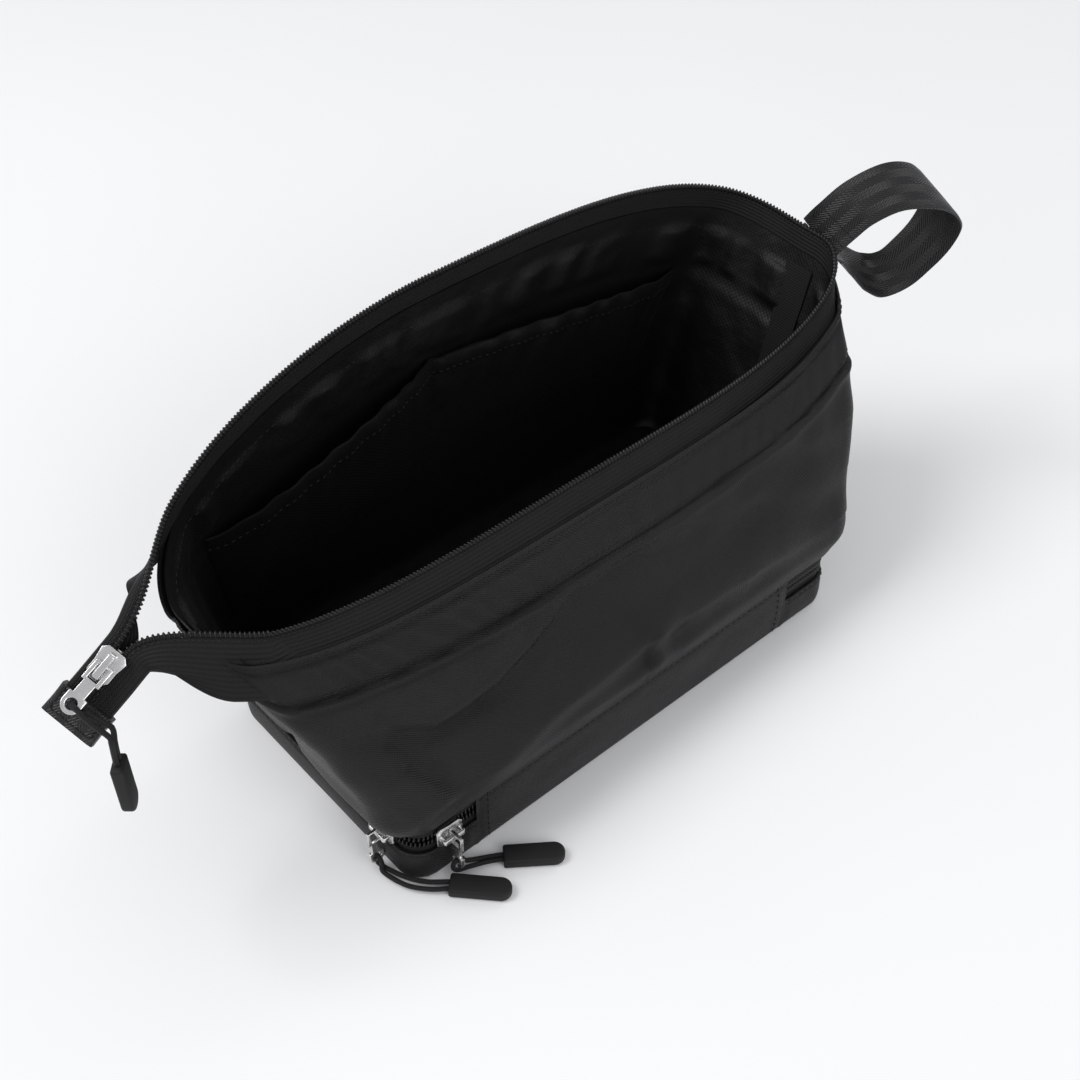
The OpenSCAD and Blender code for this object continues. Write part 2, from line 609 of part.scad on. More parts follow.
front_hole = [front_slider_x, -(base_d / 2 - mid_off) - hang_z, hole_z];
front_grip_at = [front_slider_x + 15, -(base_d / 2) - 11, grip_z];
front_grip_turn = -37;
module front_pull_cord() color(RUBBER) pull_cord(front_grip_at, front_hole,
    [[1.4, 0.1, 0], [-4, 3.2, 0.2]],
    [[3.6, -0.6, -3.4], [1.8, 0, -0.9], [0, 0, 0.1],
     [-1.9, 0, -0.9], [-2.1, -0.2, -3.4], [-0.4, -0.8, -5], [3.5, -2.4, -4.9]],
    [[-5, 1.6, 0.2], [0.2, -1.5, 0]], [0, 1, 0]);
module front_grip() color(RUBBER) translate(front_grip_at) rotate([0, 0, front_grip_turn]) grip();

base_panel();
base_lining();
front_band();
side_band();
lower_zip_tape_bottom();
lower_zip_teeth_bottom();
lower_zip_leg_tape();
lower_zip_leg_teeth();
lower_zip_tape_top();
lower_zip_teeth_top();
front_panel();
back_panel();
front_lining();
back_lining();
compartment_floor();
mouth_tape_front();
mouth_tape_back();
mouth_teeth_front();
mouth_teeth_back();
zip_end_tab();
left_seam_binding();
right_seam_binding();
inner_pocket();
pocket_hem();
hanging_loop();
main_slider();
main_slider_cap();
main_slider_spring();
main_puller();
main_pull_cord();
main_grip();
left_slider();
left_slider_cap();
left_slider_spring();
left_puller();
left_pull_cord();
left_grip();
front_slider();
front_slider_cap();
front_slider_spring();
front_puller();
front_pull_cord();
front_grip();
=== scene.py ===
"""Visual model of an open travel toiletry bag, built on the shared CAD frame."""
from __future__ import annotations

import logging
import math
from dataclasses import dataclass
from enum import Enum

import bmesh
import bpy
import numpy as np
from mathutils import Matrix, Vector


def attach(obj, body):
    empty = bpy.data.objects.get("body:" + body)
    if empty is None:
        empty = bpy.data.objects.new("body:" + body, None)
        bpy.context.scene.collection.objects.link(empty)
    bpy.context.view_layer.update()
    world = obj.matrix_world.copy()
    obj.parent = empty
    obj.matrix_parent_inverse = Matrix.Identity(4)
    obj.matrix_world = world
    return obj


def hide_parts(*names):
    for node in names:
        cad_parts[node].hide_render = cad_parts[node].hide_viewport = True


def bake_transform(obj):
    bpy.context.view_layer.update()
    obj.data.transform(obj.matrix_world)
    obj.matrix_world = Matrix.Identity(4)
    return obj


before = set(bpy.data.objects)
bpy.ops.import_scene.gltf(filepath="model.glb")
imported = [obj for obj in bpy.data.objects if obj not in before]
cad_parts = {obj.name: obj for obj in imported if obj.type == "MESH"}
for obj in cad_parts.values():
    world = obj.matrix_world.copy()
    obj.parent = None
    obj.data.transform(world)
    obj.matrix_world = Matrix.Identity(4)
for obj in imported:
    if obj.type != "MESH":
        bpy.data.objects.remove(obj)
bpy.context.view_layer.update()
LOG = logging.getLogger("bag")
MM = 0.001
Grid = np.ndarray


# ---------------------------------------------------------------- shaders

class Sig:
    """One socket of a shader tree, with the usual arithmetic on it."""

    def __init__(self, shader: "Shader", socket: bpy.types.NodeSocket) -> None:
        """Keep the shader that the socket belongs to."""
        self.shader = shader
        self.socket = socket

    def _math(self, operation: str, *values: "Sig | float") -> "Sig":
        """Return the result of one Math node."""
        return self.shader.node("ShaderNodeMath", {"operation": operation}, dict(enumerate(values)))

    def __add__(self, other: "Sig | float") -> "Sig":
        """Return the sum."""
        return self._math("ADD", self, other)

    def __sub__(self, other: "Sig | float") -> "Sig":
        """Return the difference."""
        return self._math("SUBTRACT", self, other)

    def __mul__(self, other: "Sig | float") -> "Sig":
        """Return the product."""
        return self._math("MULTIPLY", self, other)

    def __truediv__(self, other: "Sig | float") -> "Sig":
        """Return the quotient."""
        return self._math("DIVIDE", self, other)

    def sin(self) -> "Sig":
        """Return the sine."""
        return self._math("SINE", self)

    def abs(self) -> "Sig":
        """Return the size without its sign."""
        return self._math("ABSOLUTE", self)

    def above(self, edge: float) -> "Sig":
        """Return 1 where this is above an edge."""
        return self._math("GREATER_THAN", self, edge)

    def power(self, exponent: float) -> "Sig":
        """Return this raised to a power."""
        return self._math("POWER", self, exponent)

    def ping(self, size: float) -> "Sig":
        """Return a triangle wave between 0 and size."""
        return self._math("PINGPONG", self, size)


class Shader:
    """One material and the tree that draws it."""

    def __init__(self, name: str) -> None:
        """Start an empty material with its output and Principled shader."""
        self.material = bpy.data.materials.new(name)
        self.material.use_nodes = True
        self.tree = self.material.node_tree
        self.tree.nodes.clear()
        self.output = self.tree.nodes.new("ShaderNodeOutputMaterial")
        self.surface = self.tree.nodes.new("ShaderNodeBsdfPrincipled")
        self.tree.links.new(self.surface.outputs[0], self.output.inputs["Surface"])

    def node(self, kind: str, settings: dict | None = None, inputs: dict | None = None,
             out: int | str = 0) -> Sig:
        """Add one node.

        Args:
            kind: the node's type.
            settings: properties set before the sockets.
            inputs: values or sockets by input name or number.
            out: the output to return.

        Returns:
            The chosen output as a Sig.
        """
        made = self.tree.nodes.new(kind)
        for key, value in (settings or {}).items():
            setattr(made, key, value)
        for key, value in (inputs or {}).items():
            if isinstance(value, Sig):
                self.tree.links.new(value.socket, made.inputs[key])
            else:
                made.inputs[key].default_value = value
        return Sig(self, made.outputs[out])

    def place(self, uv: bool) -> tuple[Sig, Sig, Sig, Sig]:
        """Read the coordinates, in metres.

        Args:
            uv: whether they come from the UV map rather than the object.

        Returns:
            The coordinates and their three parts.
        """
        if uv:
            base = self.node("ShaderNodeUVMap", {"uv_map": "Cloth"})
        else:
            base = self.node("ShaderNodeTexCoord", out="Object")
        parts = self.node("ShaderNodeSeparateXYZ", None, {0: base})
        outs = parts.socket.node.outputs
        return base, Sig(self, outs[0]), Sig(self, outs[1]), Sig(self, outs[2])

    def noise(self, where: Sig, scale: float, detail: float = 3.0, rough: float = 0.55) -> Sig:
        """Return a noise value around 0.5."""
        return self.node("ShaderNodeTexNoise", None,
                         {"Vector": where, "Scale": scale, "Detail": detail, "Roughness": rough})

    def blend(self, factor: Sig, low: tuple[float, float, float], high: tuple[float, float, float]) -> Sig:
        """Return a colour between two, by a factor."""
        return self.node("ShaderNodeMix", {"data_type": "RGBA", "clamp_factor": True},
                         {0: factor, 6: (*low, 1.0), 7: (*high, 1.0)}, out=2)

    def bump(self, height: Sig, distance: float, strength: float = 1.0, before: Sig | None = None) -> Sig:
        """Bend the normal by a height.

        Args:
            height: the surface's height.
            distance: metres that a height of 1 stands for.
            strength: share of the effect.
            before: a normal that is bent already.

        Returns:
            The bent normal.
        """
        inputs: dict = {"Height": height, "Distance": distance, "Strength": strength}
        if before is not None:
            inputs["Normal"] = before
        return self.node("ShaderNodeBump", None, inputs)

    def finish(self, values: dict) -> bpy.types.Material:
        """Set the Principled shader's sockets.

        Args:
            values: numbers, colours or sockets by input name.

        Returns:
            The finished material.
        """
        for key, value in values.items():
            socket = self.surface.inputs[key]
            if isinstance(value, Sig):
                self.tree.links.new(value.socket, socket)
            else:
                socket.default_value = value
        return self.material


class Weave(Enum):
    """How the threads of a cloth cross."""

    TWILL = "twill"
    RIB = "rib"
    KNIT = "knit"
    HERRINGBONE = "herringbone"
    PLAIN = "plain"
    BRAID = "braid"


def grey(value: float, warm: float = 0.0) -> tuple[float, float, float]:
    """Return a near grey colour."""
    return (value * (1 + warm), value, value * (1 - warm))


@dataclass(frozen=True)
class ClothFinish:
    """A woven or knitted cloth, drawn from its UV map in metres."""

    name: str
    weave: Weave
    pitch: float
    depth: float
    dark: float
    light: float
    roughness: float
    sheen: float
    gloss: float = 0.25
    wear: float = 0.12
    crinkle: float = 0.0

    def threads(self, shader: Shader, u: Sig, v: Sig) -> Sig:
        """Return the height of the threads.

        Args:
            shader: the shader being built.
            u: distance along the piece, in metres.
            v: distance across it, in metres.

        Returns:
            A height from about 0 to 1.
        """
        turn = 2 * math.pi / self.pitch
        if self.weave is Weave.TWILL:
            line = ((u + v * 0.9) * (turn / 2)).sin().abs()
            return line.power(0.7) * 0.75 + ((u - v) * (turn * 0.9)).sin() * 0.12 + 0.12
        if self.weave is Weave.RIB:
            return (v * (turn / 2)).sin().abs() * 0.7 + (u * turn).sin() * 0.14 + 0.14
        if self.weave is Weave.KNIT:
            column = (v * (turn / 2)).sin().abs()
            slant = ((u * 1.3 + (v / self.pitch).ping(0.5) * (self.pitch * 1.4)) * turn).sin()
            return column * 0.6 + slant * 0.2 + 0.2
        if self.weave is Weave.HERRINGBONE:
            fold = (v / 0.0066).ping(0.5) * 0.0066
            line = ((u + fold * 1.6) * (turn / 2)).sin().abs()
            return line.power(0.8) * 0.8 + (v * (turn * 1.4)).sin() * 0.1 + 0.1
        if self.weave is Weave.BRAID:
            left = ((u + v) * (turn / 2)).sin().abs()
            right = ((u - v) * (turn / 2)).sin().abs()
            return left._math("MAXIMUM", left, right).power(1.5)
        over = (u * (turn / 2)).sin() * (v * (turn / 2)).sin()
        return over * 0.5 + 0.5

    def material(self) -> bpy.types.Material:
        """Draw the threads, the wear and the creases.

        Returns:
            The cloth's material.
        """
        shader = Shader(self.name)
        _, u, v, _ = shader.place(True)
        where, _, _, _ = shader.place(False)
        threads = self.threads(shader, u, v)
        cloud = shader.noise(where, 26.0, 4.0)
        fibre = shader.noise(where, 900.0, 2.0, 0.7)
        slow = shader.noise(where, 70.0, 3.0)
        shade = threads * 0.55 + cloud * 0.25 + fibre * 0.2
        lint = (fibre * 0.6 + shader.noise(where, 420.0, 1.0) * 0.4).above(0.735)
        colour = shader.blend(shade, grey(self.dark, -0.02), grey(self.light, -0.02))
        colour = shader.node("ShaderNodeMix", {"data_type": "RGBA"},
                             {0: lint * self.wear, 6: colour, 7: (*grey(0.05), 1.0)}, out=2)
        rough = threads * -0.10 + cloud * 0.16 + (self.roughness - 0.02)
        normal = shader.bump(threads * 0.8 + fibre * 0.2, self.depth)
        if self.crinkle > 0:
            normal = shader.bump(slow, self.crinkle, 0.8, normal)
        return shader.finish({"Base Color": colour, "Roughness": rough, "Normal": normal,
                              "Sheen Weight": self.sheen, "Sheen Roughness": 0.45,
                              "Sheen Tint": (0.8, 0.82, 0.85, 1.0), "Specular IOR Level": self.gloss})


@dataclass(frozen=True)
class PlasticFinish:
    """A moulded or extruded plastic or rubber, drawn on the object's coordinates."""

    name: str
    dark: float
    light: float
    roughness: float
    grain: float
    grain_size: float
    coat: float = 0.0

    def material(self) -> bpy.types.Material:
        """Draw the grain and the cloudy gloss.

        Returns:
            The plastic's material.
        """
        shader = Shader(self.name)
        where, _, _, _ = shader.place(False)
        grain = shader.noise(where, self.grain_size, 3.0, 0.6)
        cloud = shader.noise(where, 90.0, 3.0)
        colour = shader.blend(cloud * 0.6 + grain * 0.4, grey(self.dark), grey(self.light))
        rough = cloud * 0.2 + grain * 0.1 + (self.roughness - 0.15)
        return shader.finish({"Base Color": colour, "Roughness": rough,
                              "Normal": shader.bump(grain, self.grain), "Coat Weight": self.coat,
                              "Coat Roughness": 0.3, "Specular IOR Level": 0.3})


@dataclass(frozen=True)
class MetalFinish:
    """Plated die-cast metal with fine handling marks."""

    name: str
    tone: float
    roughness: float

    def material(self) -> bpy.types.Material:
        """Draw the plating and its fine marks.

        Returns:
            The metal's material.
        """
        shader = Shader(self.name)
        where, _, _, _ = shader.place(False)
        stretch = shader.node("ShaderNodeMapping", None, {"Vector": where, "Scale": (1.0, 1.0, 6.0)})
        marks = shader.noise(stretch, 700.0, 2.0, 0.7)
        cloud = shader.noise(where, 220.0, 3.0)
        colour = shader.blend(cloud, grey(self.tone * 0.86, 0.01), grey(self.tone, 0.01))
        rough = marks * 0.16 + cloud * 0.14 + (self.roughness - 0.15)
        return shader.finish({"Base Color": colour, "Metallic": 1.0, "Roughness": rough,
                              "Normal": shader.bump(marks + cloud, 0.00004)})


@dataclass(frozen=True)
class Finishes:
    """Every finish on the bag, made once."""

    nylon: bpy.types.Material
    lining: bpy.types.Material
    tape: bpy.types.Material
    webbing: bpy.types.Material
    binding: bpy.types.Material
    cord: bpy.types.Material
    thread: bpy.types.Material
    coil: bpy.types.Material
    rubber: bpy.types.Material
    metal: bpy.types.Material


def make_finishes() -> Finishes:
    """Make the bag's finishes.

    Returns:
        Every finish, ready to be put on a piece.
    """
    return Finishes(
        nylon=ClothFinish("ribbed_nylon", Weave.TWILL, 0.0011, 0.00026, 0.0018, 0.0088, 0.44, 0.014,
                          gloss=0.26, crinkle=0.0007).material(),
        lining=ClothFinish("lining_cloth", Weave.PLAIN, 0.0009, 0.00008, 0.0018, 0.0050, 0.48, 0.010,
                           gloss=0.22, crinkle=0.0014).material(),
        tape=ClothFinish("knitted_zip_tape", Weave.KNIT, 0.0012, 0.00030, 0.0020, 0.0110, 0.58, 0.02,
                         gloss=0.2).material(),
        webbing=ClothFinish("herringbone_webbing", Weave.HERRINGBONE, 0.0016, 0.00032, 0.0022, 0.0120, 0.42,
                            0.03, gloss=0.42).material(),
        binding=ClothFinish("seam_binding", Weave.RIB, 0.0010, 0.00015, 0.002, 0.007, 0.7, 0.02).material(),
        cord=ClothFinish("braided_cord", Weave.BRAID, 0.0010, 0.00020, 0.003, 0.011, 0.6, 0.04).material(),
        thread=PlasticFinish("sewing_thread", 0.004, 0.011, 0.5, 0.00003, 2400.0).material(),
        coil=PlasticFinish("coil_nylon", 0.003, 0.007, 0.36, 0.00002, 1500.0, 0.1).material(),
        rubber=PlasticFinish("moulded_rubber", 0.0065, 0.0115, 0.60, 0.00005, 1800.0).material(),
        metal=MetalFinish("plated_metal", 0.74, 0.24).material())


# ---------------------------------------------------------------- meshes

def unit(vectors: Grid) -> Grid:
    """Return vectors of length 1."""
    return vectors / np.maximum(np.linalg.norm(vectors, axis=-1, keepdims=True), 1e-9)


def smooth(value: Grid | float) -> Grid | float:
    """Return the smooth step of a share."""
    share = np.clip(value, 0.0, 1.0)
    return share * share * (3 - 2 * share)


def bell(distance: Grid, width: float) -> Grid:
    """Return a soft bump of height 1."""
    return np.exp(-(distance / width) ** 2)


def soft_noise(u: Grid, v: Grid, cell: float, seed: int) -> Grid:
    """Return smooth repeatable noise.

    Args:
        u: first coordinate.
        v: second coordinate.
        cell: size of one cell in the same unit.
        seed: seed of the table.

    Returns:
        Values from -1 to 1.
    """
    table = np.random.default_rng(seed).uniform(-1, 1, (96, 96))
    x, y = u / cell + 31.0, v / cell + 17.0
    i, j = np.floor(x).astype(int), np.floor(y).astype(int)
    a, b = smooth(x - i), smooth(y - j)
    i0, j0, i1, j1 = i % 96, j % 96, (i + 1) % 96, (j + 1) % 96
    low = table[i0, j0] * (1 - a) + table[i1, j0] * a
    high = table[i0, j1] * (1 - a) + table[i1, j1] * a
    return low * (1 - b) + high * b


def arc_lengths(points: Grid) -> Grid:
    """Return the distance along a path at each of its points."""
    steps = np.linalg.norm(np.diff(points, axis=0), axis=1)
    return np.concatenate([[0.0], np.cumsum(steps)])


def resample(points: Grid, count: int) -> Grid:
    """Space points evenly along a path.

    Args:
        points: the path.
        count: number of points wanted.

    Returns:
        The new points.
    """
    length = arc_lengths(points)
    want = np.linspace(0, length[-1], count)
    return np.stack([np.interp(want, length, points[:, k]) for k in range(3)], axis=1)


def spline(points: Grid, steps: int = 8) -> Grid:
    """Draw a smooth path through points (Catmull-Rom).

    Args:
        points: the points that it passes.
        steps: steps from each point to the next.

    Returns:
        The path.
    """
    p = np.vstack([2 * points[0] - points[1], points, 2 * points[-1] - points[-2]])
    out = []
    for i in range(1, len(p) - 2):
        for k in range(steps):
            t = k / steps
            out.append(0.5 * (2 * p[i] + (p[i + 1] - p[i - 1]) * t
                              + (2 * p[i - 1] - 5 * p[i] + 4 * p[i + 1] - p[i + 2]) * t ** 2
                              + (3 * p[i] - p[i - 1] - 3 * p[i + 1] + p[i + 2]) * t ** 3))
    out.append(p[-2])
    return np.array(out)


def mesh_object(name: str, points: Grid, faces: list, material: bpy.types.Material,
                uvs: Grid | None = None, sharp: float = 40.0) -> bpy.types.Object:
    """Make one object from points in millimetres.

    Args:
        name: name of the piece.
        points: vertices, in millimetres.
        faces: vertex numbers of each face, outward.
        material: the piece's finish.
        uvs: one pair per vertex, in millimetres.
        sharp: angle in degrees above which an edge stays sharp.

    Returns:
        The object, linked to the scene.
    """
    mesh = bpy.data.meshes.new(name)
    mesh.from_pydata((np.asarray(points) * MM).tolist(), [], faces)
    if uvs is not None:
        layer = mesh.uv_layers.new(name="Cloth")
        loops = np.empty(len(mesh.loops), dtype=np.int32)
        mesh.loops.foreach_get("vertex_index", loops)
        layer.data.foreach_set("uv", (np.asarray(uvs)[loops] * MM).astype(np.float32).ravel())
    mesh.materials.append(material)
    mesh.polygons.foreach_set("use_smooth", [True] * len(mesh.polygons))
    mesh.update()
    mesh.set_sharp_from_angle(angle=math.radians(sharp))
    piece = bpy.data.objects.new(name, mesh)
    bpy.context.scene.collection.objects.link(piece)
    return piece


def sheet_faces(rows: int, cols: int, ring: bool = False) -> list:
    """Return the faces of a closed sheet whose two grids follow each other.

    Args:
        rows: rows of each grid, from the bottom up.
        cols: columns of each grid, anticlockwise seen from above.
        ring: whether the last column joins the first.

    Returns:
        Faces with their normals outward.
    """
    size = rows * cols
    last = cols if ring else cols - 1
    faces = []
    for r in range(rows - 1):
        for c in range(last):
            d = (c + 1) % cols
            a, b, e, f = r * cols + c, r * cols + d, (r + 1) * cols + d, (r + 1) * cols + c
            faces.append((a, b, e, f))
            faces.append((size + a, size + f, size + e, size + b))
    for c in range(last):
        d = (c + 1) % cols
        top = (rows - 1) * cols
        faces.append((c, size + c, size + d, d))
        faces.append((top + c, top + d, size + top + d, size + top + c))
    if not ring:
        for r in range(rows - 1):
            a, b = r * cols, (r + 1) * cols
            faces.append((a, b, size + b, size + a))
            faces.append((a + cols - 1, size + a + cols - 1, size + b + cols - 1, b + cols - 1))
    return faces


def shell(name: str, outer: Grid, inner: Grid, material: bpy.types.Material, uv: Grid | None = None,
          ring: bool = False) -> bpy.types.Object:
    """Make a closed sheet of cloth from its two faces, as grids of points in millimetres.

    Args:
        name: name of the piece.
        outer: rows by columns by 3, the face that looks out.
        inner: the same for the face that looks in.
        material: the piece's finish.
        uv: rows by columns by 2, in millimetres, or none to measure it on the grid.
        ring: whether the last column joins the first.

    Returns:
        The object.
    """
    rows, cols = outer.shape[:2]
    if uv is None:
        middle = outer[rows // 2]
        along = arc_lengths(middle)
        up = arc_lengths(outer[:, cols // 2])
        uv = np.stack(np.broadcast_arrays(along[None, :], up[:, None]), axis=-1)
    points = np.concatenate([outer.reshape(-1, 3), inner.reshape(-1, 3)])
    uvs = np.concatenate([uv.reshape(-1, 2)] * 2)
    return mesh_object(name, points, sheet_faces(rows, cols, ring), material, uvs)


def tube(name: str, path: Grid, radius: float, material: bpy.types.Material, sides: int = 12
         ) -> bpy.types.Object:
    """Make a round cord with closed ends along a path in millimetres.

    Args:
        name: name of the piece.
        path: points along the middle.
        radius: half the cord's diameter.
        material: the cord's finish.
        sides: points round the cord.

    Returns:
        The object.
    """
    way = unit(np.gradient(path, axis=0))
    side = np.cross(way[0], [0.3, 0.5, 0.81])
    rows, uvs = [], []
    length = arc_lengths(path)
    angles = np.linspace(0, 2 * math.pi, sides + 1)
    for i, point in enumerate(path):
        side = side - way[i] * np.dot(side, way[i])
        side = side / np.linalg.norm(side)
        up = np.cross(way[i], side)
        rows.append(point + radius * (np.cos(angles)[:, None] * side + np.sin(angles)[:, None] * up))
        uvs.append(np.stack([np.full(sides + 1, length[i]), angles * radius], axis=1))
    points = np.concatenate(rows + [path[:1], path[-1:]])
    uv = np.concatenate(uvs + [[[0.0, 0.0]], [[length[-1], 0.0]]])
    n = sides + 1
    faces = [(i * n + k, i * n + k + 1, (i + 1) * n + k + 1, (i + 1) * n + k)
             for i in range(len(path) - 1) for k in range(sides)]
    first, last = len(path) * n, len(path) * n + 1
    faces += [(first, k + 1, k) for k in range(sides)]
    faces += [(last, (len(path) - 1) * n + k, (len(path) - 1) * n + k + 1) for k in range(sides)]
    piece = mesh_object(name, points, faces, material, uv)
    weld(piece)
    return piece


def weld(piece: bpy.types.Object, distance: float = 1e-7) -> None:
    """Merge the doubles of a piece's mesh and turn its faces outward.

    Args:
        piece: the object.
        distance: metres within which two vertices are one.
    """
    work = bmesh.new()
    work.from_mesh(piece.data)
    bmesh.ops.remove_doubles(work, verts=work.verts, dist=distance)
    bmesh.ops.recalc_face_normals(work, faces=work.faces)
    work.to_mesh(piece.data)
    work.free()


def finish_piece(piece: bpy.types.Object, body: str, slot: str, *nodes: str) -> None:
    """Tie a piece to the frame.

    Args:
        piece: the object.
        body: the body that it rides on.
        slot: the record's material slot; not used.
        nodes: the CAD nodes that it stands for.
    """
    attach(piece, body)
    if nodes:
        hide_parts(*nodes)
    LOG.info("%s: %d faces on %s", piece.name, len(piece.data.polygons), body)


class Repeater:
    """A Geometry Nodes tree that sets one small rounded part at each point of a mesh."""

    def __init__(self, name: str, segments: int = 8, rings: int = 5) -> None:
        """Build the tree once, with named inputs for its sizes and finish.

        Args:
            name: name of the tree.
            segments: faces round the part.
            rings: faces from its end to its end.
        """
        tree = bpy.data.node_groups.new(name, "GeometryNodeTree")
        face = tree.interface
        face.new_socket("Points", in_out="INPUT", socket_type="NodeSocketGeometry")
        self.inputs: dict[str, str] = {}
        for label in ("Length", "Height", "Width", "Uneven"):
            socket = face.new_socket(label, in_out="INPUT", socket_type="NodeSocketFloat")
            self.inputs[label] = socket.identifier
        socket = face.new_socket("Finish", in_out="INPUT", socket_type="NodeSocketMaterial")
        self.inputs["Finish"] = socket.identifier
        face.new_socket("Parts", in_out="OUTPUT", socket_type="NodeSocketGeometry")
        add, link = tree.nodes.new, tree.links.new
        source, target = add("NodeGroupInput"), add("NodeGroupOutput")
        points = add("GeometryNodeMeshToPoints")
        ball = add("GeometryNodeMeshUVSphere")
        ball.inputs["Segments"].default_value = segments
        ball.inputs["Rings"].default_value = rings
        ball.inputs["Radius"].default_value = 0.5
        size = add("ShaderNodeCombineXYZ")
        fit = add("GeometryNodeTransform")
        first, second = add("FunctionNodeAlignRotationToVector"), add("FunctionNodeAlignRotationToVector")
        first.axis, second.axis, second.pivot_axis = "X", "Z", "X"
        names = []
        for label in ("along", "out"):
            named = add("GeometryNodeInputNamedAttribute")
            named.data_type = "FLOAT_VECTOR"
            named.inputs["Name"].default_value = label
            names.append(named)
        uneven = add("FunctionNodeRandomValue")
        uneven.inputs["Seed"].default_value = 7
        low, high = add("ShaderNodeMath"), add("ShaderNodeMath")
        low.operation, high.operation = "SUBTRACT", "ADD"
        for number in (low, high):
            number.inputs[0].default_value = 1.0
            link(source.outputs["Uneven"], number.inputs[1])
        link(low.outputs[0], uneven.inputs[2])
        link(high.outputs[0], uneven.inputs[3])
        copies = add("GeometryNodeInstanceOnPoints")
        real, dress, soft = add("GeometryNodeRealizeInstances"), add("GeometryNodeSetMaterial"), \
            add("GeometryNodeSetShadeSmooth")
        for label, axis in (("Length", "X"), ("Width", "Y"), ("Height", "Z")):
            link(source.outputs[label], size.inputs[axis])
        link(size.outputs[0], fit.inputs["Scale"])
        link(ball.outputs["Mesh"], soft.inputs["Geometry"])
        link(soft.outputs["Geometry"], fit.inputs["Geometry"])
        link(source.outputs["Points"], points.inputs["Mesh"])
        link(names[0].outputs["Attribute"], first.inputs["Vector"])
        link(first.outputs["Rotation"], second.inputs["Rotation"])
        link(names[1].outputs["Attribute"], second.inputs["Vector"])
        link(points.outputs["Points"], copies.inputs["Points"])
        link(fit.outputs["Geometry"], copies.inputs["Instance"])
        link(second.outputs["Rotation"], copies.inputs["Rotation"])
        link(uneven.outputs[1], copies.inputs["Scale"])
        link(copies.outputs["Instances"], real.inputs["Geometry"])
        link(real.outputs["Geometry"], dress.inputs["Geometry"])
        link(source.outputs["Finish"], dress.inputs["Material"])
        link(dress.outputs["Geometry"], target.inputs["Parts"])
        self.tree = tree

    def make(self, name: str, points: Grid, along: Grid, out: Grid, size: tuple[float, float, float],
             finish: bpy.types.Material, uneven: float = 0.04) -> bpy.types.Object:
        """Set the part at every point and return the result as a plain mesh.

        Args:
            name: name of the piece.
            points: places in millimetres.
            along: direction of the part's length at each point.
            out: direction that the part looks in at each point.
            size: length, width and height in millimetres.
            finish: the parts' material.
            uneven: share by which the sizes differ.

        Returns:
            The object.
        """
        mesh = bpy.data.meshes.new(name + "_points")
        mesh.from_pydata((points * MM).tolist(), [], [])
        for label, vectors in (("along", unit(along)), ("out", unit(out))):
            layer = mesh.attributes.new(label, "FLOAT_VECTOR", "POINT")
            layer.data.foreach_set("vector", vectors.astype(np.float32).ravel())
        holder = bpy.data.objects.new(name + "_points", mesh)
        bpy.context.scene.collection.objects.link(holder)
        change = holder.modifiers.new("Repeat", "NODES")
        change.node_group = self.tree
        for label, value in (("Length", size[0]), ("Width", size[1]), ("Height", size[2])):
            change[self.inputs[label]] = value * MM
        change[self.inputs["Uneven"]] = uneven
        change[self.inputs["Finish"]] = finish
        graph = bpy.context.evaluated_depsgraph_get()
        result = bpy.data.meshes.new_from_object(holder.evaluated_get(graph))
        bpy.data.objects.remove(holder)
        bpy.data.meshes.remove(mesh)
        result.name = name
        piece = bpy.data.objects.new(name, result)
        bpy.context.scene.collection.objects.link(piece)
        return piece


# ---------------------------------------------------------------- the bag's shape

@dataclass(frozen=True)
class Crease:
    """A fold pressed into a wall, from one place to the next in the wall's own x and z."""

    points: tuple[tuple[float, float], ...]
    width: float
    height: float

    def relief(self, x: Grid, z: Grid) -> Grid:
        """Return how far the fold stands out.

        Args:
            x: places along the wall.
            z: heights on the wall.

        Returns:
            Millimetres outward, with a shallow valley under the ridge.
        """
        total = np.zeros_like(x)
        line = np.array(self.points)
        length = np.concatenate([[0], np.cumsum(np.linalg.norm(np.diff(line, axis=0), axis=1))])
        best = np.full_like(x, 1e9)
        under = np.zeros_like(x)
        place = np.zeros_like(x)
        for i, (a, b) in enumerate(zip(line[:-1], line[1:])):
            d = b - a
            share = np.clip(((x - a[0]) * d[0] + (z - a[1]) * d[1]) / (d @ d), 0, 1)
            dx, dz = x - a[0] - share * d[0], z - a[1] - share * d[1]
            gap = np.hypot(dx, dz)
            nearer = gap < best
            best = np.where(nearer, gap, best)
            under = np.where(nearer, dz, under)
            place = np.where(nearer, (length[i] + share * (length[i + 1] - length[i])) / length[-1], place)
        fade = np.sin(np.pi * np.clip(place * 0.92 + 0.04, 0, 1)) ** 0.6
        side = np.where(under < 0, 1.0, 2.2)
        total += bell(best, self.width * side)
        total -= 0.75 * bell(under + self.width * 1.5, self.width * 1.1) * bell(best, self.width * 3)
        return self.height * total * fade


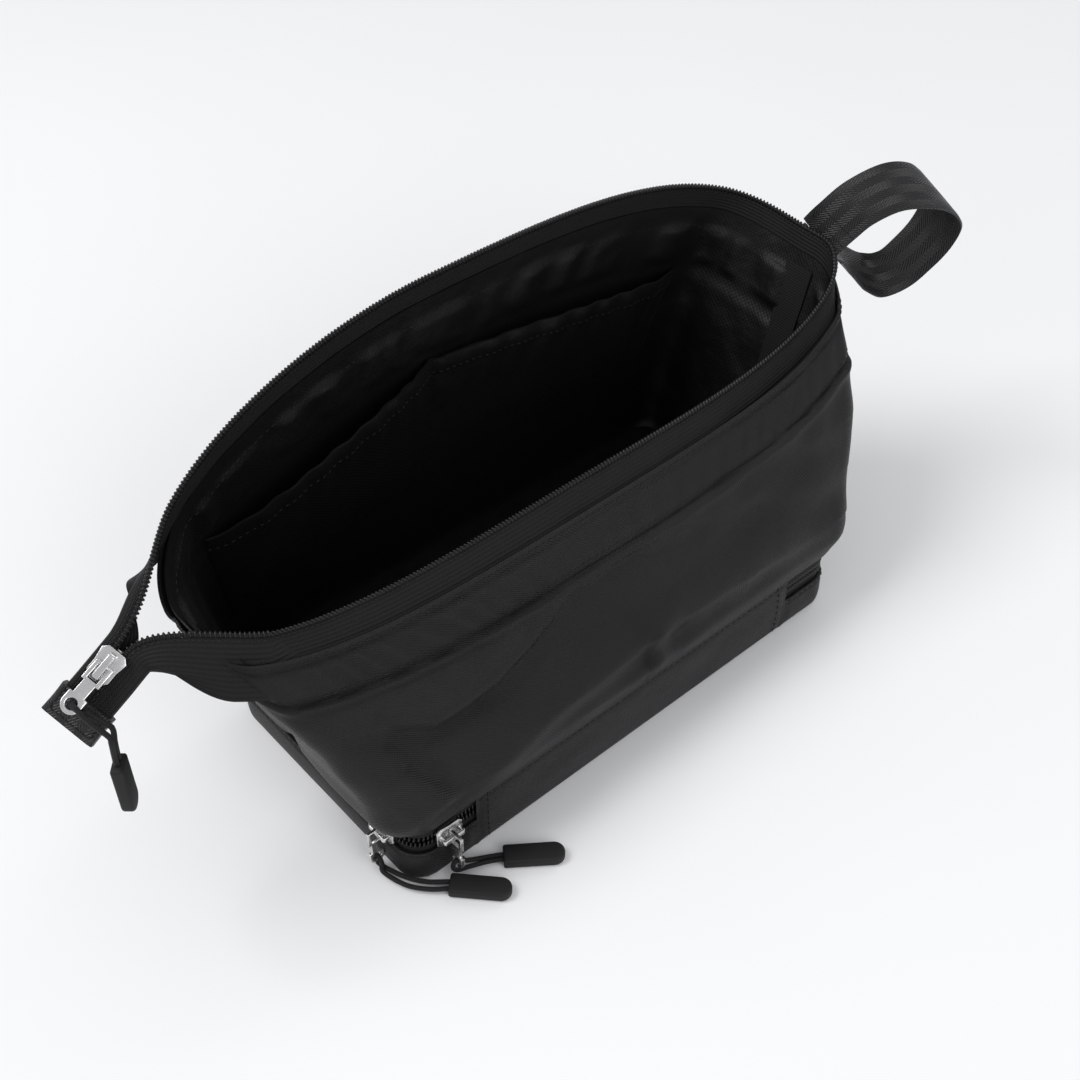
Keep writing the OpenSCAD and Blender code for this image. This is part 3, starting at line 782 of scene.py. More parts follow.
@dataclass(frozen=True)
class BagShape:
    """The bag's main sizes, in millimetres, and the surfaces that they make."""

    base_l: float = 216.0
    base_d: float = 110.0
    corner_r: float = 10.0
    tray_h: float = 27.0
    zip_z: float = 20.0
    seam_x: float = 80.0
    mouth_left: float = 150.0
    mouth_right: float = 153.0
    mouth_front: float = 17.0
    mouth_back: float = 65.0
    mouth_end_y: float = 9.0
    front_h: float = 102.0
    back_h: float = 146.0
    left_h: float = 122.0
    right_h: float = 127.0
    belly: float = 5.0
    tape_off: float = 1.2
    lining_off: float = 2.0
    room_off: float = 2.6
    tape_t: float = 0.6
    tape_w: float = 14.0
    tape_show: float = 9.0
    chain_w: float = 2.0
    chain_t: float = 2.2
    half_gap: float = 0.6
    turn_y: float = -45.0

    @property
    def mid_off(self) -> float:
        """Return the middle of the zip's thickness."""
        return self.tape_off + self.tape_t / 2

    def outline(self, turn: Grid, off: Grid | float) -> Grid:
        """Return points of the base's outline.

        Args:
            turn: angles in degrees, 0 at the right end and 90 at the back.
            off: distance inside the outer face.

        Returns:
            Pairs of x and y.
        """
        u = (np.asarray(turn, float) / 360) % 1
        k = np.floor(4 * u).astype(int)
        f = 4 * u - k
        hl, hd, r = self.base_l / 2 - off, self.base_d / 2 - off, self.corner_r - off
        s = (hl + hd - 2 * r + r * np.pi / 2) * np.where(k % 2 == 0, f, 1 - f)
        a = (s - hd + r) / r
        first, second = s < hd - r, s < hd - r + r * np.pi / 2
        beyond = hl - r - (s - hd + r - r * np.pi / 2)
        x = np.where(first, hl, np.where(second, hl - r + r * np.cos(a), beyond))
        y = np.where(first, s, np.where(second, hd - r + r * np.sin(a), hd))
        return np.stack([np.where((k == 0) | (k == 3), x, -x), np.where(k < 2, y, -y)], axis=-1)

    def rim_height(self, turn: Grid) -> Grid:
        """Measure the rim's height.

        Args:
            turn: angles in degrees.

        Returns:
            Heights in millimetres.
        """
        c, s = np.cos(np.radians(turn)), np.sin(np.radians(turn))
        ends = np.where(c > 0, self.right_h, self.left_h)
        sides = np.where(s > 0, self.back_h, self.front_h)
        return ends + (sides - ends) * np.abs(s) ** 1.3

    def wall(self, turn: Grid, share: Grid, off: Grid | float) -> Grid:
        """Return points of the main compartment's wall.

        Args:
            turn: angles in degrees.
            share: share of the wall's height.
            off: distance inside the outer face.

        Returns:
            Points in millimetres.
        """
        turn, share = np.broadcast_arrays(np.asarray(turn, float), np.asarray(share, float))
        c, s = np.cos(np.radians(turn)), np.sin(np.radians(turn))
        full = np.where(s < 0, 4.0, np.where(c > 0, 3.4, 1.8))
        reach = np.where(c > 0, self.mouth_right, self.mouth_left) - off
        deep = np.where(s > 0, self.mouth_back - self.mouth_end_y, self.mouth_front + self.mouth_end_y) - off
        rim_x = reach * np.sign(c) * np.abs(c) ** (2 / full)
        rim_y = self.mouth_end_y + deep * np.sign(s) * np.abs(s) ** (2 / full)
        base = self.outline(turn, off)
        w = np.clip(share, 0, 1) ** 1.3
        k = self.belly * np.sin(np.pi * np.clip(share, 0, 1) ** 0.6)
        x = base[..., 0] + (rim_x - base[..., 0]) * w + k * base[..., 0] / (self.base_l / 2)
        y = base[..., 1] + (rim_y - base[..., 1]) * w + k * base[..., 1] / (self.base_d / 2)
        z = self.tray_h + share * (self.rim_height(turn) - self.tray_h)
        return np.stack([x, y, z], axis=-1)

    def below(self, turn: Grid, drop: Grid | float) -> Grid:
        """Return the share of the wall's height at a drop below the rim."""
        return 1 - drop / (self.rim_height(turn) - self.tray_h)

    def even_turns(self, start: float, end: float, count: int, share: float = 0.6) -> Grid:
        """Choose angles that lie at even distances along the wall.

        Args:
            start: first angle in degrees.
            end: last angle.
            count: number of angles.
            share: share of the height at which the distance is measured.

        Returns:
            The angles.
        """
        fine = np.linspace(start, end, 2000)
        length = arc_lengths(self.wall(fine, np.full_like(fine, share), 0.0))
        return np.interp(np.linspace(0, length[-1], count), length, fine)

    def grid(self, turns: Grid, bottom: float, drop: float, rows: int, off: float) -> tuple[Grid, Grid, Grid]:
        """Return a wall's grid with each point's drop and distance along the rim.

        Args:
            turns: the angle of each column.
            bottom: share of the height where the grid starts.
            drop: distance below the rim where it ends.
            rows: number of rows.
            off: distance inside the outer face.

        Returns:
            Points, drops and distances along the rim.
        """
        top = self.below(turns, drop)
        step = np.linspace(0, 1, rows)[:, None]
        share = bottom + (top[None, :] - bottom) * step
        points = self.wall(turns[None, :], share, off)
        drops = (1 - share) * (self.rim_height(turns)[None, :] - self.tray_h)
        along = arc_lengths(self.wall(turns, self.below(turns, 20.0), 0.0))
        return points, drops, np.broadcast_to(along[None, :], drops.shape)


def grid_normals(points: Grid) -> Grid:
    """Return the outward normals of a grid whose rows run up and columns anticlockwise."""
    return unit(np.cross(np.gradient(points, axis=1), np.gradient(points, axis=0)))


# ---------------------------------------------------------------- walls

@dataclass
class Walls:
    """The outer cloth of the main compartment: a front and a back panel with their folds."""

    shape: BagShape
    finishes: Finishes
    stitches: Repeater
    cols: int = 230
    rows: int = 112
    cloth_t: float = 0.8
    seam_drop: float = 24.0
    front_folds: tuple[Crease, ...] = (
        Crease(((-112, 76), (-88, 66), (-60, 66), (-22, 74)), 3.2, 3.4),
        Crease(((-104, 78), (-100, 58), (-88, 40), (-80, 32)), 3.0, -2.2),
        Crease(((-74, 42), (-30, 46), (20, 47), (70, 46), (104, 44)), 5.0, 2.8),
        Crease(((-30, 88), (10, 80), (60, 72), (110, 60)), 6.0, 1.3),
        Crease(((10, 66), (50, 66), (98, 78)), 5.0, 1.2),
        Crease(((40, 98), (70, 84), (112, 76)), 5.0, 1.4),
        Crease(((-95, 90), (-60, 84), (-20, 86)), 4.0, 1.2))
    fold_gain: float = 1.25
    puller_x: float = -92.0

    def relief(self, points: Grid, drops: Grid, along: Grid, front: bool) -> Grid:
        """Return how far each point of a wall stands off its plain surface.

        Args:
            points: the plain wall.
            drops: distance of each point below the rim.
            along: distance of each point along the rim.
            front: whether this is the front panel.

        Returns:
            Millimetres outward.
        """
        x, z = points[..., 0], points[..., 2]
        seed = 3 if front else 41
        seam = self.seam_drop
        out = 0.55 * bell(drops - 10.3, 1.3) - 0.5 * bell(drops - 12.2, 0.8)
        band = smooth((drops - 12.0) / 2.5) * smooth((seam - drops) / 3.0)
        ripple = np.sin(along / 5.0 * np.pi + 2.6 * soft_noise(along, drops, 26.0, seed))
        out = out + band * (0.35 + 0.42 * ripple * (0.6 + 0.4 * soft_noise(along, drops, 40.0, seed + 1))
                            + 0.5 * soft_noise(along + drops * 0.6, drops, 13.0, seed + 2))
        out = out - 1.0 * bell(drops - seam, 0.9) + 1.0 * bell(drops - seam - 2.0, 1.5)
        body = smooth((drops - seam - 1.0) / 8.0) * smooth((z - self.shape.tray_h) / 7.0)
        slow = (soft_noise(along * 0.6, z, 34.0, seed + 3) * 1.7
                + soft_noise(along, z + along * 0.3, 19.0, seed + 4))
        fine = soft_noise(along * 0.5, z - along * 0.12, 8.0, seed + 5) * 0.34
        drape = np.sin((z * 0.9 + 0.22 * along) / 9.0 + 2.0 * soft_noise(along, z, 45.0, seed + 6))
        out = out + body * (slow + fine + 0.35 * drape)
        tug = smooth((drops - seam) / 3.0) * np.exp(-np.maximum(drops - seam, 0) / 9.0)
        out = out + tug * 0.4 * np.sin(along / 3.6 + 3 * soft_noise(along, drops, 30.0, seed + 7))
        if front:
            for fold in self.front_folds:
                out = out + (self.fold_gain * fold.relief(x, z) * smooth((drops - seam + 6) / 8.0)
                             * smooth((z - 27.5) / 5.0))
            out = out + 2.0 * bell(z - 37.0, 6.5) * smooth((z - 27.0) / 5.0)
            out = out + 4.0 * bell(x - 112.0, 34.0) * bell(z - 84.0, 20.0)
        else:
            out = out + 3.4 * bell(x - 128.0, 26.0) * bell(z - 86.0, 22.0)
            out = out + 1.4 * bell(z - 38.0, 7.0) * smooth((z - 27.0) / 5.0)
        low = smooth((z - self.shape.tray_h - 0.5) / 9.0)
        if front:
            low = low * (1 - bell(x - self.puller_x, 14.0) * (1 - smooth((z - 35.0) / 6.0)))
        return np.maximum(out, -1.0) * low

    def seam_match(self, out: Grid, turns: Grid, ends: tuple[float, float]) -> Grid:
        """Ease the relief to a shared value at the two side seams, with a stitched valley.

        Args:
            out: the panel's relief.
            turns: the angle of each column.
            ends: the seams' angles.

        Returns:
            The eased relief.
        """
        near = np.minimum(np.abs(turns - ends[0]), np.abs(turns - ends[1]))
        ease = smooth(near / 4.0)[None, :]
        return out * ease - 0.55 * (1 - smooth(near / 1.3))[None, :]

    def panel(self, front: bool) -> None:
        """Build one panel and its stitches.

        Args:
            front: whether this is the front panel.
        """
        start, end = (180.0, 360.0) if front else (0.0, 180.0)
        turns = self.shape.even_turns(start, end, self.cols)
        plain, drops, along = self.shape.grid(turns, 0.0, self.shape.tape_show, self.rows, 0.0)
        out = self.seam_match(self.relief(plain, drops, along, front), turns, (start, end))
        normals = grid_normals(plain)
        outer = plain + normals * out[..., None]
        inner = outer - normals * self.cloth_t
        up = np.cumsum(np.linalg.norm(np.diff(plain, axis=0, prepend=plain[:1]), axis=-1), axis=0)
        side = "front" if front else "back"
        piece = shell(side + "_wall", outer, inner, self.finishes.nylon, np.stack([along, up], axis=-1))
        finish_piece(piece, "upper_bag", "nylon", side + "_panel")
        self.sew(side, outer, grid_normals(outer), drops)

    def sew(self, side: str, outer: Grid, normals: Grid, drops: Grid) -> None:
        """Add the rows of topstitching along the mouth and the band's seam.

        Args:
            side: "front" or "back".
            outer: the panel's outer face.
            normals: its outward normals.
            drops: the drop of each of its points.
        """
        for label, drop, pitch in (("hem", 10.6, 2.9), ("band", self.seam_drop - 1.8, 3.1)):
            rows = np.argmin(np.abs(drops - drop), axis=0)
            cols = np.arange(outer.shape[1])
            path, looks = outer[rows, cols], normals[rows, cols]
            count = int(arc_lengths(path)[-1] / pitch)
            points, looks = resample(path, count), unit(resample(looks, count))
            points = points + looks * 0.08
            along = np.gradient(points, axis=0)
            piece = self.stitches.make(f"{side}_{label}_stitches", points[2:-2], along[2:-2], looks[2:-2],
                                       (pitch * 0.74, 0.5, 0.42), self.finishes.thread, 0.06)
            finish_piece(piece, "upper_bag", "nylon")

    def build(self) -> None:
        """Build both panels."""
        self.panel(True)
        self.panel(False)


@dataclass
class Linings:
    """The cloth inside the main compartment, its floor, side bindings and pocket."""

    shape: BagShape
    finishes: Finishes
    stitches: Repeater
    cols: int = 180
    rows: int = 70
    lining_t: float = 0.5
    pocket: tuple[float, float] = (38.0, 146.0)
    pocket_drop: float = 34.0
    pocket_h: float = 52.0
    pocket_gap: float = 11.0

    def lining(self, front: bool) -> None:
        """Build one half of the lining, with the puckered facing under the zip.

        Args:
            front: whether this is the front half.
        """
        start, end = (180.0, 360.0) if front else (0.0, 180.0)
        turns = self.shape.even_turns(start, end, self.cols)
        shape = self.shape
        plain, drops, along = shape.grid(turns, 0.0, shape.tape_show, self.rows, shape.lining_off)
        seed = 90 if front else 120
        facing = smooth((drops - 15.5) / 3.0) * smooth((33.0 - drops) / 3.0)
        out = -facing * (0.9 + 0.7 * np.sin(along / 3.4 + 3.4 * soft_noise(along, drops, 24.0, seed))
                         + 0.7 * soft_noise(along, drops, 9.0, seed + 1))
        body = smooth((drops - 34.0) / 6.0)
        out = out - body * (0.9 + 0.8 * soft_noise(along * 0.7, drops, 21.0, seed + 2)
                            + 0.4 * soft_noise(along, drops + along * 0.4, 9.0, seed + 3))
        out = out + 0.5 * bell(drops - 33.5, 1.0)
        near = np.minimum(turns - start, end - turns)
        out = np.minimum(out, 0.0) * smooth(near / 3.0)[None, :] * smooth((plain[..., 2] - 28.0) / 5.0)
        if not front:
            span = smooth((turns - 36.0) / 3.0) * smooth((148.0 - turns) / 3.0)
            out = out * (1 - 0.85 * span[None, :] * smooth((drops - 31.0) / 4.0))
        normals = grid_normals(plain)
        outer = plain + normals * out[..., None]
        up = np.cumsum(np.linalg.norm(np.diff(plain, axis=0, prepend=plain[:1]), axis=-1), axis=0)
        side = "front" if front else "back"
        piece = shell(side + "_lining_cloth", outer, outer - normals * self.lining_t, self.finishes.lining,
                      np.stack([along, up], axis=-1))
        finish_piece(piece, "upper_bag", "lining", side + "_lining")
        inner = outer - normals * (self.lining_t + 0.1)
        rows = np.argmin(np.abs(drops - 17.0), axis=0)
        cols = np.arange(outer.shape[1])
        path = inner[rows, cols]
        looks = -normals[rows, cols]
        count = int(arc_lengths(path)[-1] / 3.0)
        points, looks = resample(path, count), unit(resample(looks, count))
        piece = self.stitches.make(side + "_facing_stitches", points[2:-2], np.gradient(points, axis=0)[2:-2],
                                   looks[2:-2], (2.2, 0.45, 0.4), self.finishes.thread, 0.06)
        finish_piece(piece, "upper_bag", "lining")

    def floor(self) -> None:
        """Build the floor between the compartments, slightly sunk and wrinkled."""
        turns = np.linspace(0, 360, 145)[:-1]
        rings = np.linspace(0.0, 1.0, 26)
        edge = self.shape.outline(turns, self.shape.room_off + 0.6)
        height = self.shape.tray_h + 0.1
        top = np.zeros((len(rings), len(turns), 3))
        for i, share in enumerate(rings):
            xy = edge * (1 - share * 0.985)
            top[i, :, :2] = xy
            sag = (0.35 * soft_noise(xy[:, 0], xy[:, 1], 24.0, 7)
                   + 0.2 * soft_noise(xy[:, 0], xy[:, 1], 9.0, 8))
            top[i, :, 2] = height + 1.0 + (sag - 0.2) * smooth(share * 4)
        low = top.copy()
        low[..., 2] = height
        points = np.concatenate([low.reshape(-1, 3), top.reshape(-1, 3)])
        n = len(turns)
        faces = []
        size = len(rings) * n
        for r in range(len(rings) - 1):
            for c in range(n):
                d = (c + 1) % n
                a, b, e, f = r * n + c, r * n + d, (r + 1) * n + d, (r + 1) * n + c
                faces.append((a, f, e, b))
                faces.append((size + a, size + b, size + e, size + f))
        last = (len(rings) - 1) * n
        faces += [(c, (c + 1) % n, size + (c + 1) % n, size + c) for c in range(n)]
        faces.append(tuple(last + c for c in reversed(range(n))))
        faces.append(tuple(size + last + c for c in range(n)))
        piece = mesh_object("floor_cloth", points, faces, self.finishes.lining, points[:, :2])
        finish_piece(piece, "upper_bag", "lining", "compartment_floor")

    def binding(self, turn: float, side: str) -> None:
        """Build the tape that covers a side seam inside the bag.

        Args:
            turn: the seam's angle.
            side: "left" or "right".
        """
        turns = np.linspace(turn - 2.6, turn + 2.6, 9)
        shape = self.shape
        plain, drops, along = shape.grid(turns, 0.08, shape.tape_show + 4, 60, shape.room_off + 0.35)
        bulge = 0.35 * np.cos(np.linspace(-1.4, 1.4, 9))[None, :] + 0.25 * soft_noise(along, drops, 11.0, 60)
        normals = grid_normals(plain)
        inner = plain - normals * (0.55 + bulge)[..., None]
        piece = shell(side + "_binding", plain, inner, self.finishes.binding)
        finish_piece(piece, "upper_bag", "webbing", side + "_seam_binding")

    def pocket_grid(self, low: float, high: float, rows: int, cols: int, gather: float) -> tuple[Grid, Grid]:
        """Return the pocket's cloth between two drops, and its outward normals.

        Args:
            low: drop of the lower edge.
            high: drop of the upper edge.
            rows: number of rows.
            cols: number of columns.
            gather: depth of the gathers at the hem.

        Returns:
            The face towards the lining, and its normals.
        """
        start, end = self.pocket
        turns = self.shape.even_turns(start, end, cols)
        drops = np.linspace(low, high, rows)[:, None] + np.zeros((1, cols))
        f = ((turns - start) / (end - start))[None, :]
        g = (self.pocket_drop + self.pocket_h - drops) / self.pocket_h
        stand = 0.3 + self.pocket_gap * np.abs(np.sin(2 * np.pi * f)) ** 0.7 * np.sin(np.pi / 2 * g)
        along = arc_lengths(self.shape.wall(turns, self.shape.below(turns, 40.0), 0.0))[None, :]
        across = np.broadcast_to(along, drops.shape)
        rise = smooth((g - 0.45) / 0.5)
        wave = np.sin(along / 2.1 + 2.2 * soft_noise(across, drops, 30.0, 70))
        calm = smooth(np.abs(np.sin(2 * np.pi * f)) * 2.2)
        stand = stand + calm * (gather * rise * (0.5 + 0.5 * wave)
                                + 0.8 * (0.5 + 0.5 * soft_noise(across, drops, 14.0, 71)) * smooth(g * 3))
        plain = self.shape.wall(turns[None, :], self.shape.below(turns[None, :], drops), self.shape.room_off)
        base = grid_normals(plain)
        return plain - base * stand[..., None], base

    def build_pocket(self) -> None:
        """Build the pocket's gathered cloth, its elastic hem and stitches."""
        low, top, hem = self.pocket_drop + self.pocket_h, self.pocket_drop, 7.0
        face, base = self.pocket_grid(low, top + hem - 0.4, 44, 200, 0.9)
        piece = shell("pocket_cloth", face, face - base * 0.5, self.finishes.lining)
        finish_piece(piece, "upper_bag", "lining", "inner_pocket")
        face, base = self.pocket_grid(top + hem, top, 12, 200, 0.9)
        roll = 0.45 * np.sin(np.linspace(0.25, math.pi - 0.25, 12))[:, None, None]
        piece = shell("pocket_edge", face + base * (roll + 0.1), face - base * (0.75 + roll),
                      self.finishes.lining)
        finish_piece(piece, "upper_bag", "webbing", "pocket_hem")
        path = (face - base * 1.3)[2]
        points = resample(path, int(arc_lengths(path)[-1] / 2.8))
        looks = unit(resample(-base[2], len(points)))
        piece = self.stitches.make("pocket_stitches", points, np.gradient(points, axis=0), looks,
                                   (2.0, 0.45, 0.4), self.finishes.thread, 0.06)
        finish_piece(piece, "upper_bag", "webbing")

    def build(self) -> None:
        """Build everything inside the main compartment."""
        self.lining(True)
        self.lining(False)
        self.floor()
        self.binding(180.0, "left")
        self.binding(0.0, "right")
        self.build_pocket()


# ---------------------------------------------------------------- mouth zip

@dataclass(frozen=True)
class Tail:
    """The joined end of the mouth's zip, in its own frame: +X to the tab, +Y to the front, +Z out."""

    at: tuple[float, float, float] = (-164.0, 5.0, 116.0)
    pitch: float = 32.0
    roll: float = 35.0
    length: float = 18.0
    front: float = 10.6
    back: float = 5.6
    under: float = 2.9
    tab_l: float = 10.0

    def turn(self, vectors: Grid) -> Grid:
        """Turn vectors from the tail's frame into the bag's.

        Args:
            vectors: the vectors, in the tail's frame.

        Returns:
            The same vectors in the bag's frame.
        """
        p, r = math.radians(self.pitch), math.radians(self.roll)
        v = np.asarray(vectors, float)
        y = v[..., 1] * math.cos(r) + v[..., 2] * math.sin(r)
        z = v[..., 2] * math.cos(r) - v[..., 1] * math.sin(r)
        return np.stack([-v[..., 0] * math.cos(p) - z * math.sin(p), -y,
                         z * math.cos(p) - v[..., 0] * math.sin(p)], axis=-1)

    def point(self, points: Grid) -> Grid:
        """Return points of the tail's frame in the bag's frame."""
        return np.array(self.at) + self.turn(points)


@dataclass
class MouthZip:
    """The two rows of the mouth's zip, from the right end to the joined tail, and the tail's tab."""

    shape: BagShape
    tail: Tail
    finishes: Finishes
    teeth: Repeater
    stitches: Repeater
    leave: tuple[float, float] = (225.0, 150.0)
    tooth_pitch: float = 1.5
    across: int = 17

    def tail_profile(self, back: bool) -> Grid:
        """Fold a tape's cross-section under, as in the joined zip.

        Args:
            back: whether this is the back tape.

        Returns:
            Distance across and height, for even steps across the tape.
        """
        reach = self.tail.back if back else self.tail.front
        side = self.shape.half_gap + self.shape.chain_w
        radius = (self.tail.under + self.shape.tape_t / 2) / 2
        flat = reach - side - radius
        steps = np.linspace(0, self.shape.tape_w, self.across)
        angle = np.clip((steps - flat) / radius, 0, math.pi)
        rest = np.maximum(steps - flat - radius * math.pi, 0)
        a = np.where(steps < flat, steps, flat + radius * np.sin(angle) - rest)
        n = np.where(steps < flat, 0.0, -radius * (1 - np.cos(angle)))
        return np.stack([a, n], axis=1)

    def row(self, back: bool) -> tuple[Grid, Grid, Grid, Grid, Grid]:
        """Return one row's edge, frames and cross-sections.

        Args:
            back: whether this is the back row.

        Returns:
            Edge points, directions across, outward normals, cross-sections and distances along.
        """
        shape, tail = self.shape, self.tail
        leave = self.leave[1] if back else self.leave[0]
        turns = shape.even_turns(0.0, leave, 250, 0.95) if back else shape.even_turns(leave, 360.0, 230, 0.95)
        drops = shape.chain_w + np.linspace(0, shape.tape_w, self.across)
        rows = np.stack([shape.wall(turns, shape.below(turns, drop), shape.mid_off) for drop in drops],
                        axis=1)
        edge = rows[:, 0]
        over = unit(rows[:, -1] - rows[:, 0])
        way = unit(np.gradient(edge, axis=0))
        norm = unit(np.cross(over, way))
        sect = np.stack([np.sum((rows - edge[:, None]) * over[:, None], axis=-1),
                         np.sum((rows - edge[:, None]) * norm[:, None], axis=-1)], axis=-1)
        sign = -1.0 if back else 1.0
        side = shape.half_gap + shape.chain_w
        xs = np.linspace(0.0, tail.length + 5.0, 24)
        t_edge = tail.point(np.stack([xs, np.full_like(xs, sign * side), np.zeros_like(xs)], axis=1))
        t_over = tail.turn(np.tile([0.0, sign, 0.0], (len(xs), 1)))
        t_norm = tail.turn(np.tile([0.0, 0.0, 1.0], (len(xs), 1)))
        fold = self.tail_profile(back)
        i = len(edge) - 1 if back else 0
        along_tail = tail.turn(np.array([1.0, 0.0, 0.0]))
        gap = np.linalg.norm(edge[i] - t_edge[0])
        out_way = way[i] if back else -way[i]
        s = np.linspace(0, 1, 46)[1:-1, None]
        h = (2 * s ** 3 - 3 * s ** 2 + 1, s ** 3 - 2 * s ** 2 + s, -2 * s ** 3 + 3 * s ** 2, s ** 3 - s ** 2)
        free = (h[0] * edge[i] + h[1] * out_way * gap * 0.75 + h[2] * t_edge[0]
                + h[3] * along_tail * gap * 0.75)
        mix = smooth(s)
        f_way = unit(np.gradient(free, axis=0))
        f_over = over[i] * (1 - mix) + t_over[0] * mix
        f_over = unit(f_over - f_way * np.sum(f_over * f_way, axis=1, keepdims=True))
        f_norm = unit(np.cross(f_over, f_way if back else -f_way))
        morph = smooth((s - 0.25) / 0.75)[..., None]
        f_sect = sect[i][None] * (1 - morph) + fold[None] * morph
        t_sect = np.tile(fold[None], (len(xs), 1, 1))
        if back:
            parts = ((edge, free, t_edge), (over, f_over, t_over), (norm, f_norm, t_norm),
                     (sect, f_sect, t_sect))
            joined = [np.concatenate(p) for p in parts]
        else:
            parts = ((t_edge, free, edge), (t_over, f_over, over), (t_norm, f_norm, norm),
                     (t_sect, f_sect, sect))
            joined = [np.concatenate([p[0][::-1], p[1][::-1], p[2]]) for p in parts]
        return (*joined, arc_lengths(joined[0]))

    def tape(self, back: bool) -> None:
        """Build one tape with its teeth and the cord that carries them.

        Args:
            back: whether this is the back tape.
        """
        edge, over, norm, sect, along = self.row(back)
        name = "back" if back else "front"
        mid = edge[:, None] + over[:, None] * sect[..., :1] + norm[:, None] * sect[..., 1:]
        mid = np.transpose(mid, (1, 0, 2))[::-1]
        look = grid_normals(mid)
        half = self.shape.tape_t / 2
        ripple = 0.12 * soft_noise(np.broadcast_to(along[None], mid.shape[:2]),
                                   np.linspace(0, 14, self.across)[::-1, None] + 0 * along[None], 7.0, 15)
        mid = mid + look * ripple[..., None]
        width = np.linspace(0, self.shape.tape_w, self.across)[::-1]
        uv = np.stack(np.broadcast_arrays(along[None, :], width[:, None]), axis=-1)
        piece = shell(name + "_mouth_tape", mid + look * half, mid - look * half, self.finishes.tape, uv)
        finish_piece(piece, "upper_bag", "zip_tape", "mouth_tape_" + name)
        centre = edge - over * (self.shape.chain_w / 2 - 0.1)
        count = int(along[-1] / self.tooth_pitch)
        shift = self.tooth_pitch / 2 if back else 0.0
        want = np.linspace(shift, along[-1] - self.tooth_pitch + shift, count)
        pick = [np.stack([np.interp(want, along, data[:, k]) for k in range(3)], axis=1)
                for data in (centre, over, norm)]
        piece = self.teeth.make(name + "_mouth_teeth", pick[0], unit(pick[1]), unit(pick[2]),
                                (self.shape.chain_w + 0.6, 1.15, self.shape.chain_t),
                                self.finishes.coil, 0.02)
        finish_piece(piece, "upper_bag", "coil", "mouth_teeth_" + name)
        core = resample(edge - over * (self.shape.chain_w / 2 - 0.25), int(along[-1] / 2.5))
        finish_piece(tube(name + "_mouth_core", core, 0.72, self.finishes.cord, 8), "upper_bag", "coil")
        for side, label in ((1.0, "outer"), (-1.0, "inner")):
            offset = over * 0.9 + norm * side * (half + 0.1)
            line = resample(edge + offset, int(along[-1] / 2.0))
            looks = unit(resample(norm * side, len(line)))
            piece = self.stitches.make(f"{name}_tape_{label}_stitches", line, np.gradient(line, axis=0),
                                       looks, (1.7, 0.5, 0.34), self.finishes.thread, 0.05)
            finish_piece(piece, "upper_bag", "zip_tape")

    def tab(self) -> None:
        """Build the webbing sleeve over the zip's end, with its box of stitches."""
        tail = self.tail
        web, chain = 1.4, self.shape.chain_t / 2
        y0, y1 = -(tail.back + web), tail.front + web
        z0, z1 = -(tail.under + self.shape.tape_t + web), chain + web
        rows, cols = 15, 64
        angle = np.linspace(0, 2 * math.pi, cols + 1)[:-1]
        full = 7.0
        cy, cz = (y0 + y1) / 2, (z0 + z1) / 2
        ring_y = cy + (y1 - y0) / 2 * np.sign(np.cos(angle)) * np.abs(np.cos(angle)) ** (2 / full)
        ring_z = cz + (z1 - z0) / 2 * np.sign(np.sin(angle)) * np.abs(np.sin(angle)) ** (2 / full)
        xs = np.linspace(tail.length + 0.2, tail.length + 0.2 + tail.tab_l, rows)
        grid = np.zeros((rows, cols, 3))
        for i, x in enumerate(xs):
            pinch = 1 - 0.10 * math.sin(math.pi * i / (rows - 1)) - 0.22 * smooth((i - rows + 5) / 4)
            grid[i, :, 0] = x
            grid[i, :, 1] = cy + (ring_y - cy) * (1 - 0.02 * math.sin(math.pi * i / (rows - 1)))
            grid[i, :, 2] = cz + (ring_z - cz) * pinch
        points = grid.reshape(-1, 3)
        around = arc_lengths(np.stack([0 * ring_y, ring_y, ring_z], axis=1))
        uv = np.stack(np.broadcast_arrays(xs[:, None], around[None, :]), axis=-1).reshape(-1, 2)
        faces = [(r * cols + c, (r + 1) * cols + c, (r + 1) * cols + (c + 1) % cols,
                  r * cols + (c + 1) % cols)
                 for r in range(rows - 1) for c in range(cols)]
        faces += [tuple(range(cols)), tuple((rows - 1) * cols + c for c in reversed(range(cols)))]
        piece = mesh_object("end_tab", tail.point(points), faces, self.finishes.webbing, uv)
        weld(piece)
        finish_piece(piece, "upper_bag", "webbing", "zip_end_tab")
        x0, x1 = tail.length + 1.6, tail.length + tail.tab_l - 1.6
        corners = np.array([[x0, y0 + 2, 0], [x1, y0 + 2, 0], [x1, y1 - 2, 0], [x0, y1 - 2, 0],
                            [x0, y0 + 2, 0]])
        line = resample(corners, 24)
        share = (line[:, 0] - tail.length) / tail.tab_l
        line[:, 2] = (z1 - 0.34 * np.sin(np.pi * np.clip(share, 0, 1))
                      - 0.62 * smooth((share - 0.7) / 0.3) + 0.05)
        ways = tail.turn(np.gradient(line, axis=0) + [1e-6, 0, 0])
        looks = tail.turn(np.tile([0.0, 0.0, 1.0], (len(line), 1)))
        piece = self.stitches.make("tab_stitches", tail.point(line), ways, looks, (2.0, 0.55, 0.5),
                                   self.finishes.thread, 0.05)
        finish_piece(piece, "upper_bag", "webbing")

    def build(self) -> None:
        """Build both tapes and the tab."""
        self.tape(False)
        self.tape(True)
        self.tab()


# ---------------------------------------------------------------- bottom compartment

